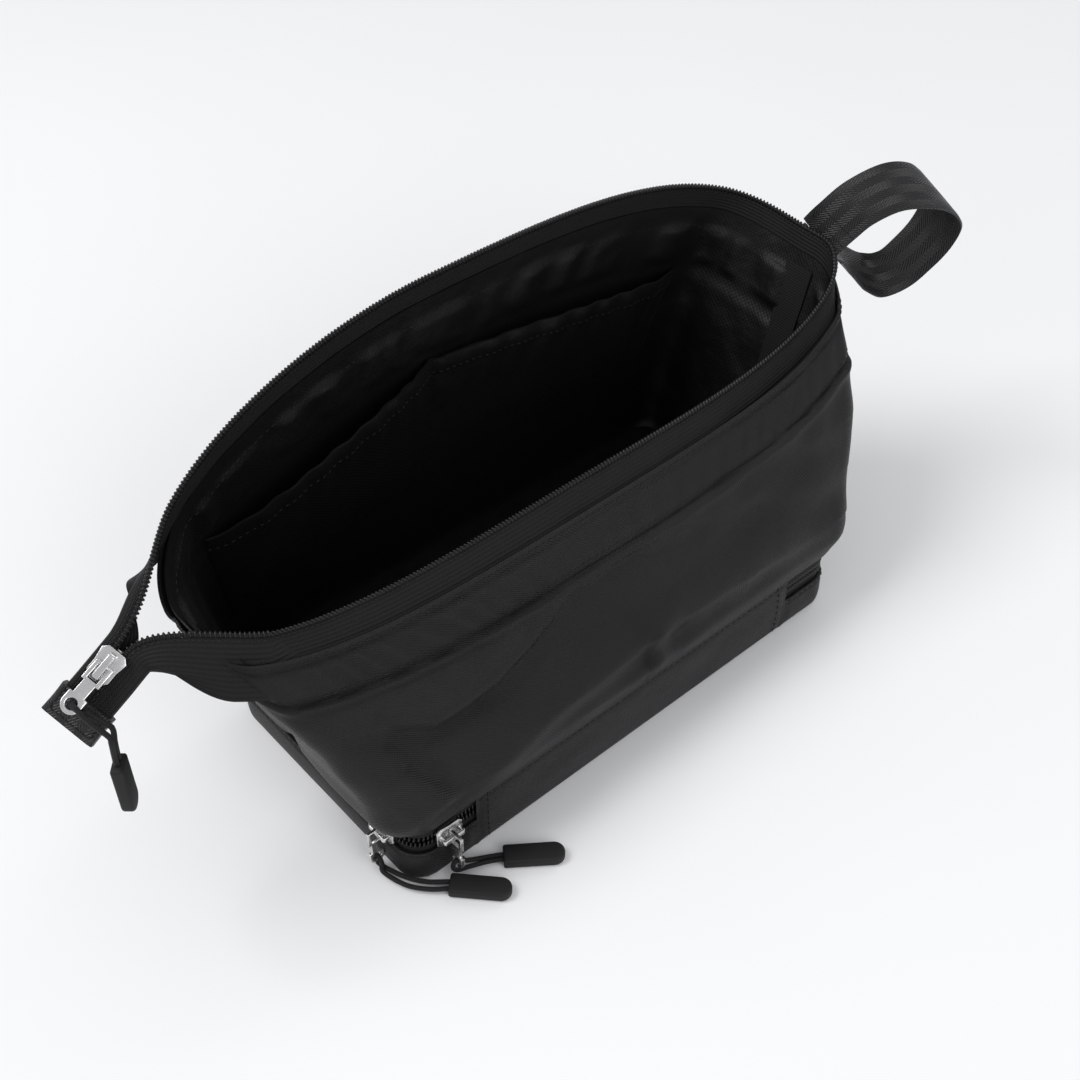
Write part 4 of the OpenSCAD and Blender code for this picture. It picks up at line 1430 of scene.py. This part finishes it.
@dataclass
class BottomTray:
    """The bottom compartment: its panels, lining and the zip that runs round it."""

    shape: BagShape
    finishes: Finishes
    teeth: Repeater
    stitches: Repeater
    band_z: float = 15.0
    cloth_t: float = 1.0
    tooth_pitch: float = 1.5

    def turns(self, part: str, count: int) -> Grid:
        """Choose angles of the outline.

        Args:
            part: "front" for the front band, "side" for the rest or "ring" for all of it.
            count: number of angles.

        Returns:
            Angles at even distances.
        """
        fine = np.linspace(-90, 270, 6001)
        xy = self.shape.outline(fine, 0.0)
        front = (xy[:, 1] < -self.shape.base_d / 2 + 0.01) & (np.abs(xy[:, 0]) < self.shape.seam_x)
        low = fine[front & (fine < 0)].max()
        high = fine[front & (fine > 180)].min()
        start, end = {"front": (high, low + 360), "side": (low, high), "ring": (0.0, 360.0)}[part]
        steps = np.linspace(start, end, 3000)
        length = arc_lengths(self.shape.outline(steps, 0.0))
        return np.interp(np.linspace(0, length[-1], count), length, steps)

    def band(self, part: str, top: float, node: str, cols: int) -> None:
        """Build one upright band of cloth with a rounded foot.

        Args:
            part: the part of the outline that it covers.
            top: height of its upper edge.
            node: the CAD node that it stands for.
            cols: number of columns.
        """
        turns = self.turns(part, cols)
        heights = np.concatenate([[0.05, 0.25, 0.6, 1.1], np.linspace(2, top - 0.1, 30)])
        xy = self.shape.outline(turns, 0.0)
        look = unit(self.shape.outline(turns, 0.0) - self.shape.outline(turns, 1.0))
        along = arc_lengths(xy)
        foot = -1.2 * (1 - np.clip(heights / 1.6, 0, 1)) ** 2
        swell = 0.9 * np.sin(np.pi * np.clip(heights / top, 0, 1)) * 0.8
        wrinkle = 0.35 * soft_noise(along[None, :] * 0.6, heights[:, None] * 1.0, 11.0, 22)
        rim = 0.35 * bell(heights - top + 0.9, 0.8) - 0.45 * bell(heights - top + 2.6, 0.6)
        out = (foot + swell + rim)[:, None] + wrinkle * np.sin(np.pi * np.clip(heights / top, 0, 1))[:, None]
        if part == "front":
            out = out * smooth((top - heights) / 5.0)[:, None]
        near = np.minimum(along, along[-1] - along)
        out = out - 0.45 * bell(near - 1.6, 0.8)[None, :] * (heights > 1.5)[:, None]
        out = out * (0.25 + 0.75 * smooth(near / 3.0))[None, :]
        outer = np.zeros((len(heights), len(turns), 3))
        outer[..., :2] = xy[None] + look[None] * out[..., None]
        outer[..., 2] = heights[:, None]
        inner = outer.copy()
        inner[..., :2] = (xy - look * self.cloth_t)[None]
        inner[..., 2] = np.maximum(outer[..., 2], 1.0) if part == "front" else outer[..., 2]
        uv = np.stack(np.broadcast_arrays(along[None, :], heights[:, None]), axis=-1)
        piece = shell(node + "_cloth", outer, inner, self.finishes.nylon, uv)
        finish_piece(piece, "base_tray", "nylon", node)
        row = outer[-4]
        points = resample(row, int(along[-1] / 3.0))
        looks = unit(resample(np.concatenate([look, np.zeros((len(look), 1))], axis=1), len(points)))
        piece = self.stitches.make(node + "_stitches", (points + looks * 0.1)[1:-1],
                                   np.gradient(points, axis=0)[1:-1], looks[1:-1], (2.2, 0.5, 0.42),
                                   self.finishes.thread, 0.06)
        finish_piece(piece, "base_tray", "nylon")
        if part == "front":
            for i, label in ((5, "left"), (-6, "right")):
                column = outer[4:-2, i]
                points = resample(column, 8) - [0, 0.12, 0]
                piece = self.stitches.make(f"{label}_seam_stitches", points, np.gradient(points, axis=0),
                                           np.tile([0.0, -1.0, 0.0], (len(points), 1)), (2.1, 0.5, 0.42),
                                           self.finishes.thread, 0.05)
                finish_piece(piece, "base_tray", "nylon")

    def plate(self, name: str, node: str, off: float, low: float, high: float, finish: bpy.types.Material,
              slot: str) -> None:
        """Build one flat panel of the base, a little cushioned, with a rounded edge.

        Args:
            name: name of the piece.
            node: the CAD node that it stands for.
            off: distance inside the outer face.
            low: height of its underside.
            high: height of its upper side.
            finish: its material.
            slot: the record's material slot.
        """
        turns = self.turns("ring", 181)[:-1]
        n = len(turns)
        rings = [0.0, 0.5, 1.2, 3.0, 8, 16, 24, 32, 40, 46]
        points, faces = [], []
        for side, z in ((0, low), (1, high)):
            for i, ring in enumerate(rings):
                xy = self.shape.outline(turns, off + min(ring, self.shape.corner_r - off - 0.5))
                if ring > self.shape.corner_r - off - 0.5:
                    extra = ring - (self.shape.corner_r - off - 0.5)
                    xy = xy * (1 - extra / (self.shape.base_d / 2 - off))
                swell = float(soft_noise(np.array([ring * 3.0]), np.array([0.0]), 9, 4)[0])
                rise = 0.0 if side == 0 else 0.25 * swell
                edge = (high - low) * 0.3 * (i == 0) * (1 if side == 0 else -1)
                level = np.full(n, z + edge + rise * 0.3)
                points.append(np.column_stack([xy, level]))
        points = np.concatenate(points)
        count = len(rings)
        for side in (0, 1):
            base = side * count * n
            for i in range(count - 1):
                for c in range(n):
                    a, b = base + i * n + c, base + i * n + (c + 1) % n
                    e, f = base + (i + 1) * n + (c + 1) % n, base + (i + 1) * n + c
                    faces.append((a, b, e, f) if side else (a, f, e, b))
            last = base + (count - 1) * n
            ring_face = tuple(last + c for c in range(n))
            faces.append(ring_face if side else tuple(reversed(ring_face)))
        faces += [(c, (c + 1) % n, count * n + (c + 1) % n, count * n + c) for c in range(n)]
        piece = mesh_object(name, points, faces, finish, points[:, :2])
        finish_piece(piece, "base_tray", slot, node)

    def ring(self, name: str, turns: Grid, low: float, high: float) -> bpy.types.Object:
        """Build one length of the lower zip's tape.

        Args:
            name: name of the piece.
            turns: the outline's angles that it covers.
            low: height of its lower edge.
            high: height of its upper edge.

        Returns:
            The tape's object.
        """
        heights = np.linspace(low, high, 9)
        shape = self.shape
        outer = np.zeros((len(heights), len(turns), 3))
        inner = outer.copy()
        for i, z in enumerate(heights):
            outer[i, :, :2] = shape.outline(turns, shape.tape_off)
            inner[i, :, :2] = shape.outline(turns, shape.tape_off + shape.tape_t)
            outer[i, :, 2] = inner[i, :, 2] = z
        uv = np.stack(np.broadcast_arrays(arc_lengths(outer[0])[None, :], heights[:, None]), axis=-1)
        return shell(name, outer, inner, self.finishes.tape, uv)

    def row_teeth(self, name: str, turns: Grid, up: bool, shifted: bool, body: str, *nodes: str) -> None:
        """Set the teeth of one row along part of the outline.

        Args:
            name: name of the piece.
            turns: the outline's angles that it covers.
            up: whether this is the upper row.
            shifted: whether the teeth lie half way between the other row's.
            body: the body that they ride on.
            nodes: the CAD nodes that they stand for.
        """
        shape = self.shape
        path = np.column_stack([shape.outline(turns, shape.mid_off), np.zeros(len(turns))])
        away = np.column_stack([shape.outline(turns, 0.0) - shape.outline(turns, 1.0), np.zeros(len(turns))])
        sign = 1.0 if up else -1.0
        path[:, 2] = shape.zip_z + sign * (shape.half_gap + shape.chain_w / 2)
        length = arc_lengths(path)
        count = int(length[-1] / self.tooth_pitch)
        points, looks = resample(path, count), unit(resample(away, count))
        if shifted:
            points = (points + np.gradient(points, axis=0) * 0.5)[:-1]
        piece = self.teeth.make(name, points, np.tile([0.0, 0.0, 1.0], (len(points), 1)), looks[:len(points)],
                                (shape.chain_w + 0.9, 1.05, shape.chain_t), self.finishes.coil, 0.02)
        finish_piece(piece, body, "coil", *nodes)

    def zip(self) -> None:
        """Build the lower zip: one row all the way on the tray, one split between tray and bag."""
        shape = self.shape
        side = self.turns("side", 420)
        xy = shape.outline(side, 0.0)
        top = shape.zip_z + shape.half_gap + shape.chain_w
        bottom = shape.zip_z - shape.half_gap - shape.chain_w
        piece = self.ring("lower_tape", side, self.band_z - 3, bottom)
        finish_piece(piece, "base_tray", "zip_tape", "lower_zip_tape_bottom")
        self.row_teeth("lower_teeth", side, False, False, "base_tray", "lower_zip_teeth_bottom")
        leg = xy[:, 1] < shape.turn_y
        middle = len(side) // 2
        right = side[:middle][leg[:middle]]
        left = side[middle:][leg[middle:]]
        loop = side[~leg]
        piece = self.ring("upper_tape", loop, top, shape.tray_h + 0.3)
        finish_piece(piece, "upper_bag", "zip_tape", "lower_zip_tape_top")
        self.row_teeth("upper_teeth", loop, True, True, "upper_bag", "lower_zip_teeth_top")
        for label, turns in (("right", right), ("left", left)):
            fine = np.interp(np.linspace(0, 1, 60), np.linspace(0, 1, len(turns)), turns)
            piece = self.ring(label + "_leg_tape", fine, top, shape.tray_h + 0.3)
            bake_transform(piece)
            if label == "left":
                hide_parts("lower_zip_leg_tape")
            nodes = ["lower_zip_leg_teeth"] if label == "left" else []
            self.row_teeth(label + "_leg_teeth", turns, True, False, "base_tray", *nodes)

    def build(self) -> None:
        """Build the whole bottom compartment."""
        self.band("front", self.shape.tray_h, "front_band", 150)
        self.band("side", self.band_z, "side_band", 420)
        self.plate("base_cloth", "base_panel", 0.4, 0.0, 1.0, self.finishes.nylon, "nylon")
        self.plate("base_inner_cloth", "base_lining", self.shape.room_off, 1.2, 1.8,
                   self.finishes.lining, "lining")
        self.zip()


# ---------------------------------------------------------------- loop and hardware

@dataclass
class HangingLoop:
    """The loop of webbing at the mouth's right end, which curls up and over to the front."""

    shape: BagShape
    finishes: Finishes
    stitches: Repeater
    width: float = 20.0
    thick: float = 1.4
    reach: float = 47.0
    root_z: float = 0.9
    route: tuple[tuple[float, float, float], ...] = (
        (0.09, -0.09, 0.18), (0.22, -0.2, 0.36), (0.43, -0.35, 0.49), (0.67, -0.47, 0.46),
        (0.87, -0.52, 0.31), (0.99, -0.51, 0.1), (0.97, -0.45, -0.14), (0.86, -0.37, -0.34),
        (0.75, -0.29, -0.48), (0.61, -0.18, -0.54),
        (0.45, -0.1, -0.44), (0.28, -0.04, -0.27), (0.12, 0.0, -0.13))
    over: tuple[tuple[float, float, float], ...] = (
        (0.25, -0.84, -0.48), (0.11, -0.82, -0.56), (0.04, -0.8, -0.6), (0.08, -0.81, -0.58),
        (0.13, -0.82, -0.55), (0.2, -0.83, -0.51), (0.33, -0.84, -0.43), (0.41, -0.83, -0.37),
        (0.38, -0.84, -0.39), (0.08, -0.81, -0.58),
        (-0.02, -0.78, -0.62), (0.08, -0.81, -0.58), (0.26, -0.84, -0.48))

    def ribbon(self, steps: int = 12) -> tuple[Grid, Grid, Grid]:
        """Draw the webbing's way.

        Args:
            steps: steps from each point of the route to the next.

        Returns:
            Its middle line, its directions across and its normals.
        """
        root = np.array([[0.0, 0.0, self.root_z]])
        line = spline(np.vstack([root, np.array(self.route) * self.reach, -root]), steps)
        flat = np.array([[0.0, -0.9, -0.44]])
        over = unit(spline(np.vstack([flat, np.array(self.over), flat]), steps))
        way = unit(np.gradient(line, axis=0))
        over = unit(over - 0.5 * way * np.sum(over * way, axis=1, keepdims=True))
        at = np.array([self.shape.mouth_right + 0.2, self.shape.mouth_end_y, self.shape.right_h - 5])
        return line + at, over, unit(np.cross(way, -over))

    def build(self) -> None:
        """Build the ribbon, its sewn root and the bars of stitches across it."""
        line, over, look = self.ribbon()
        across = np.linspace(self.width / 2, -self.width / 2, 17)
        length = arc_lengths(line)
        edge = 0.62 + 0.38 * np.clip((self.width / 2 - np.abs(across)) / 1.2, 0, 1) ** 0.5
        crown = 0.5 * np.cos(across / self.width * math.pi)
        sway = 0.4 * soft_noise(length, 0 * length, 20.0, 5)[:, None]
        outer, inner = [], []
        for k, offset in enumerate(across):
            base = line + over * offset + look * (crown[k] - 0.25 + sway * (offset / self.width))
            outer.append(base + look * self.thick / 2 * edge[k])
            inner.append(base - look * self.thick / 2 * edge[k])
        uv = np.stack(np.broadcast_arrays(length[None, :], across[:, None] + 10.0), axis=-1)
        piece = shell("loop_webbing", np.stack(outer), np.stack(inner), self.finishes.webbing, uv)
        self.root(piece, "hanging_loop")
        for label, row in (("near", 6), ("far", 12)):
            for side in (1.0, -1.0):
                i = row if side > 0 else len(line) - 1 - row
                spread = np.linspace(-self.width / 2 + 1.4, self.width / 2 - 1.4, 9)
                lift = 0.5 * np.cos(spread / self.width * math.pi) - 0.25
                points = (line[i] + over[i] * spread[:, None]
                          + look[i] * (lift[:, None] + self.thick / 2 + 0.05))
                piece = self.stitches.make(f"loop_{label}_stitches_{'a' if side > 0 else 'b'}", points,
                                           np.gradient(points, axis=0), np.tile(look[i], (9, 1)),
                                           (1.9, 0.55, 0.5), self.finishes.thread, 0.05)
                self.root(piece)

    def root(self, piece: bpy.types.Object, *nodes: str) -> None:
        """Bake a piece's placement into its mesh and hide the CAD nodes that it stands for.

        Args:
            piece: the object.
            nodes: the CAD nodes that it stands for.
        """
        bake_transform(piece)
        if nodes:
            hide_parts(*nodes)
        LOG.info("%s: %d faces between the bag and the loop", piece.name, len(piece.data.polygons))


@dataclass
class Pulls:
    """The sliders, pullers, cords and grips."""

    finishes: Finishes
    tail: Tail
    cord_r: float = 0.9

    def softened(self, node: str, width: float, finish: bpy.types.Material, body: str, slot: str) -> None:
        """Stand in for a CAD part with the same shape and rounded edges.

        Args:
            node: the CAD node.
            width: width of the rounding, in millimetres.
            finish: the part's material.
            body: body it rides on.
            slot: the record's material slot.
        """
        source = bpy.data.objects[node]
        work = bmesh.new()
        work.from_mesh(source.data)
        bmesh.ops.remove_doubles(work, verts=work.verts, dist=2e-6)
        bmesh.ops.dissolve_limit(work, angle_limit=math.radians(2), verts=work.verts, edges=work.edges)
        sharp = [e for e in work.edges if e.is_manifold and e.calc_face_angle(0) > math.radians(24)]
        bmesh.ops.bevel(work, geom=sharp, offset=width * MM, offset_type="OFFSET", segments=3, profile=0.5,
                        affect="EDGES", clamp_overlap=True)
        bmesh.ops.triangulate(work, faces=[f for f in work.faces if len(f.verts) > 4])
        mesh = bpy.data.meshes.new(node + "_finished")
        work.to_mesh(mesh)
        work.free()
        mesh.materials.append(finish)
        mesh.polygons.foreach_set("use_smooth", [True] * len(mesh.polygons))
        mesh.set_sharp_from_angle(angle=math.radians(34))
        piece = bpy.data.objects.new(node + "_finished", mesh)
        bpy.context.scene.collection.objects.link(piece)
        finish_piece(piece, body, slot, node)

    def cord(self, name: str, knots: list, grip_at: Grid, hole: Grid) -> Grid:
        """Return a cord's smooth path from its knots.

        Args:
            name: name for the log.
            knots: lists of points with what they are measured from.
            grip_at: where the grip starts.
            hole: the puller's hole.

        Returns:
            Points along the cord.
        """
        base = {"grip": grip_at, "hole": hole}
        points = np.array([base[key] + np.array(p) for key, group in knots for p in group])
        path = spline(points, 9)
        LOG.info("%s is %.1f mm long", name, arc_lengths(path)[-1])
        return path

    def build(self) -> None:
        """Build every slider with its pull."""
        f = self.finishes
        for side in ("main", "left", "front"):
            self.softened(side + "_slider", 0.28, f.metal, side + "_slider", "metal")
            self.softened(side + "_slider_cap", 0.3, f.metal, side + "_slider", "metal")
            self.softened(side + "_slider_spring", 0.06, f.metal, side + "_slider", "metal")
            self.softened(side + "_puller", 0.24, f.metal, side + "_puller", "metal")
            self.softened(side + "_grip", 0.9, f.rubber, side + "_pull", "rubber")
        tail_knots = np.array([[0.9, 14.6, -1.2], [0.8, 10, 0.2], [0.4, 5, 1.6], [0, 3, 1.8], [0, 1.2, 1.5],
                               [0, 0.3, 0], [0, 1.2, -1.5], [0, 3, -1.8], [-0.4, 5.4, -1.2], [-1, 10.4, -2],
                               [-1.2, 13.4, -3.4]])
        lift = math.radians(12)
        hole = self.tail.point(np.array([6.5 + 14.3 * math.cos(lift), 0, 3.45 + 14.3 * math.sin(lift)]))
        grip = hole + [4.5, -11, -21]
        path = self.cord("main pull cord", [
            ("grip", [[-0.7, -0.8, -1], [-0.8, -0.8, 3], [-0.5, -1, 10]]),
            ("hole", self.tail.turn(tail_knots).tolist()),
            ("grip", [[1.2, 0.8, 8], [0.9, 0.8, 3], [0.7, 0.8, -1]])], grip, hole)
        self.bent(tube("main_cord", path, self.cord_r, f.cord), "main")
        hole = np.array([-112.45, -39.5, 7.8])
        grip = np.array([-99.0, -62.5, 2.2])
        path = self.cord("left pull cord", [
            ("grip", [[1.2, 0.6, 0], [-5.2, 6, 0.2], [-9.6, 12.3, 0.4]]),
            ("hole", [[0.9, -3.5, -4.9], [0.2, 0, -5], [0, 2, -3.9], [0, 2, -1], [0, 0, 0.1],
                      [0, -1.8, -0.9], [0, -2.4, -2.8], [-0.9, -4.7, -4.6]]),
            ("grip", [[-11.4, 9.6, 0.2], [-6.2, 2.9, 0.1], [-0.4, -1.6, 0]])], grip, hole)
        self.bent(tube("left_cord", path, self.cord_r, f.cord), "left")
        hole = np.array([-92.5, -59.45, 7.8])
        grip = np.array([-77.5, -66.0, 2.2])
        path = self.cord("front pull cord", [
            ("grip", [[1.4, 0.1, 0], [-4, 3.2, 0.2]]),
            ("hole", [[3.6, -0.6, -3.4], [1.8, 0, -0.9], [0, 0, 0.1], [-1.9, 0, -0.9], [-2.1, -0.2, -3.4],
                      [-0.4, -0.8, -5], [3.5, -2.4, -4.9]]),
            ("grip", [[-5, 1.6, 0.2], [0.2, -1.5, 0]])], grip, hole)
        self.bent(tube("front_cord", path, self.cord_r, f.cord), "front")

    def bent(self, piece: bpy.types.Object, side: str) -> None:
        """Bake a cord's placement into its mesh and hide the CAD cord that it stands for.

        Args:
            piece: the cord.
            side: the pull's name.
        """
        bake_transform(piece)
        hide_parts(side + "_pull_cord")


# ---------------------------------------------------------------- studio

@dataclass
class Studio:
    """A pale floor, soft light and the camera."""

    lens: float = 50.0
    azimuth: float = -41.32
    elevation: float = 43.96
    distance: float = 0.5905
    target: tuple[float, float, float] = (0.01258, 0.01677, 0.040)

    def camera(self) -> None:
        """Make the scene's camera."""
        a, e = math.radians(self.azimuth), math.radians(self.elevation)
        back = np.array([math.sin(a) * math.cos(e), -math.cos(a) * math.cos(e), math.sin(e)])
        place = np.array(self.target) + back * self.distance
        data = bpy.data.cameras.new("view")
        data.lens, data.sensor_width = self.lens, 36.0
        data.clip_start, data.clip_end = 0.01, 50.0
        camera = bpy.data.objects.new("view", data)
        bpy.context.scene.collection.objects.link(camera)
        camera.location = place
        right = np.array([math.cos(a), math.sin(a), 0.0])
        up = np.cross(back, right)
        camera.rotation_euler = Matrix(np.column_stack([right, up, back]).tolist()).to_euler()
        bpy.context.scene.camera = camera

    def light(self, name: str, place: tuple[float, float, float], size: float, power: float) -> None:
        """Add one soft light that looks at the bag.

        Args:
            name: the light's name.
            place: where it stands, in metres.
            size: its diameter in metres.
            power: its power in watts.
        """
        data = bpy.data.lights.new(name, "AREA")
        data.shape, data.size, data.energy = "DISK", size, power
        lamp = bpy.data.objects.new(name, data)
        bpy.context.scene.collection.objects.link(lamp)
        lamp.location = place
        lamp.rotation_euler = (Vector((0, 0, 0.06)) - Vector(place)).to_track_quat("-Z", "Y").to_euler()

    def build(self) -> None:
        """Build the whole studio."""
        self.camera()
        side = 12.0
        points = np.array([[-side, -side, 0], [side, -side, 0], [side, side, 0], [-side, side, 0]])
        shader = Shader("pale_floor")
        where, _, _, _ = shader.place(False)
        cloud = shader.noise(where, 3.0, 2.0)
        material = shader.finish({"Base Color": shader.blend(cloud, grey(0.86), grey(0.90)), "Roughness": 0.8,
                                  "Specular IOR Level": 0.1})
        floor = mesh_object("floor", points / MM, [(0, 1, 2, 3)], material)
        self.light("key", (-0.9, 0.6, 1.5), 1.0, 17.0)
        self.light("front", (-0.2, -1.3, 0.9), 0.9, 6.5)
        self.light("side", (1.3, 0.2, 0.9), 0.8, 2.5)
        world = bpy.data.worlds.new("room")
        world.use_nodes = True
        world.node_tree.nodes["Background"].inputs[0].default_value = (0.95, 0.97, 1.0, 1.0)
        world.node_tree.nodes["Background"].inputs[1].default_value = 0.56
        bpy.context.scene.world = world
        bpy.context.scene.view_settings.view_transform = "Standard"


def main() -> None:
    """Build the bag piece by piece."""
    logging.basicConfig(level=logging.INFO, format="%(name)s: %(message)s")
    Studio().build()
    shape, tail = BagShape(), Tail()
    finishes = make_finishes()
    teeth, stitches = Repeater("set_teeth", 8, 6), Repeater("sew_stitches", 6, 4)
    BottomTray(shape, finishes, teeth, stitches).build()
    Walls(shape, finishes, stitches).build()
    Linings(shape, finishes, stitches).build()
    MouthZip(shape, tail, finishes, teeth, stitches).build()
    HangingLoop(shape, finishes, stitches).build()
    Pulls(finishes, tail).build()


if __name__ == "__main__":
    main()
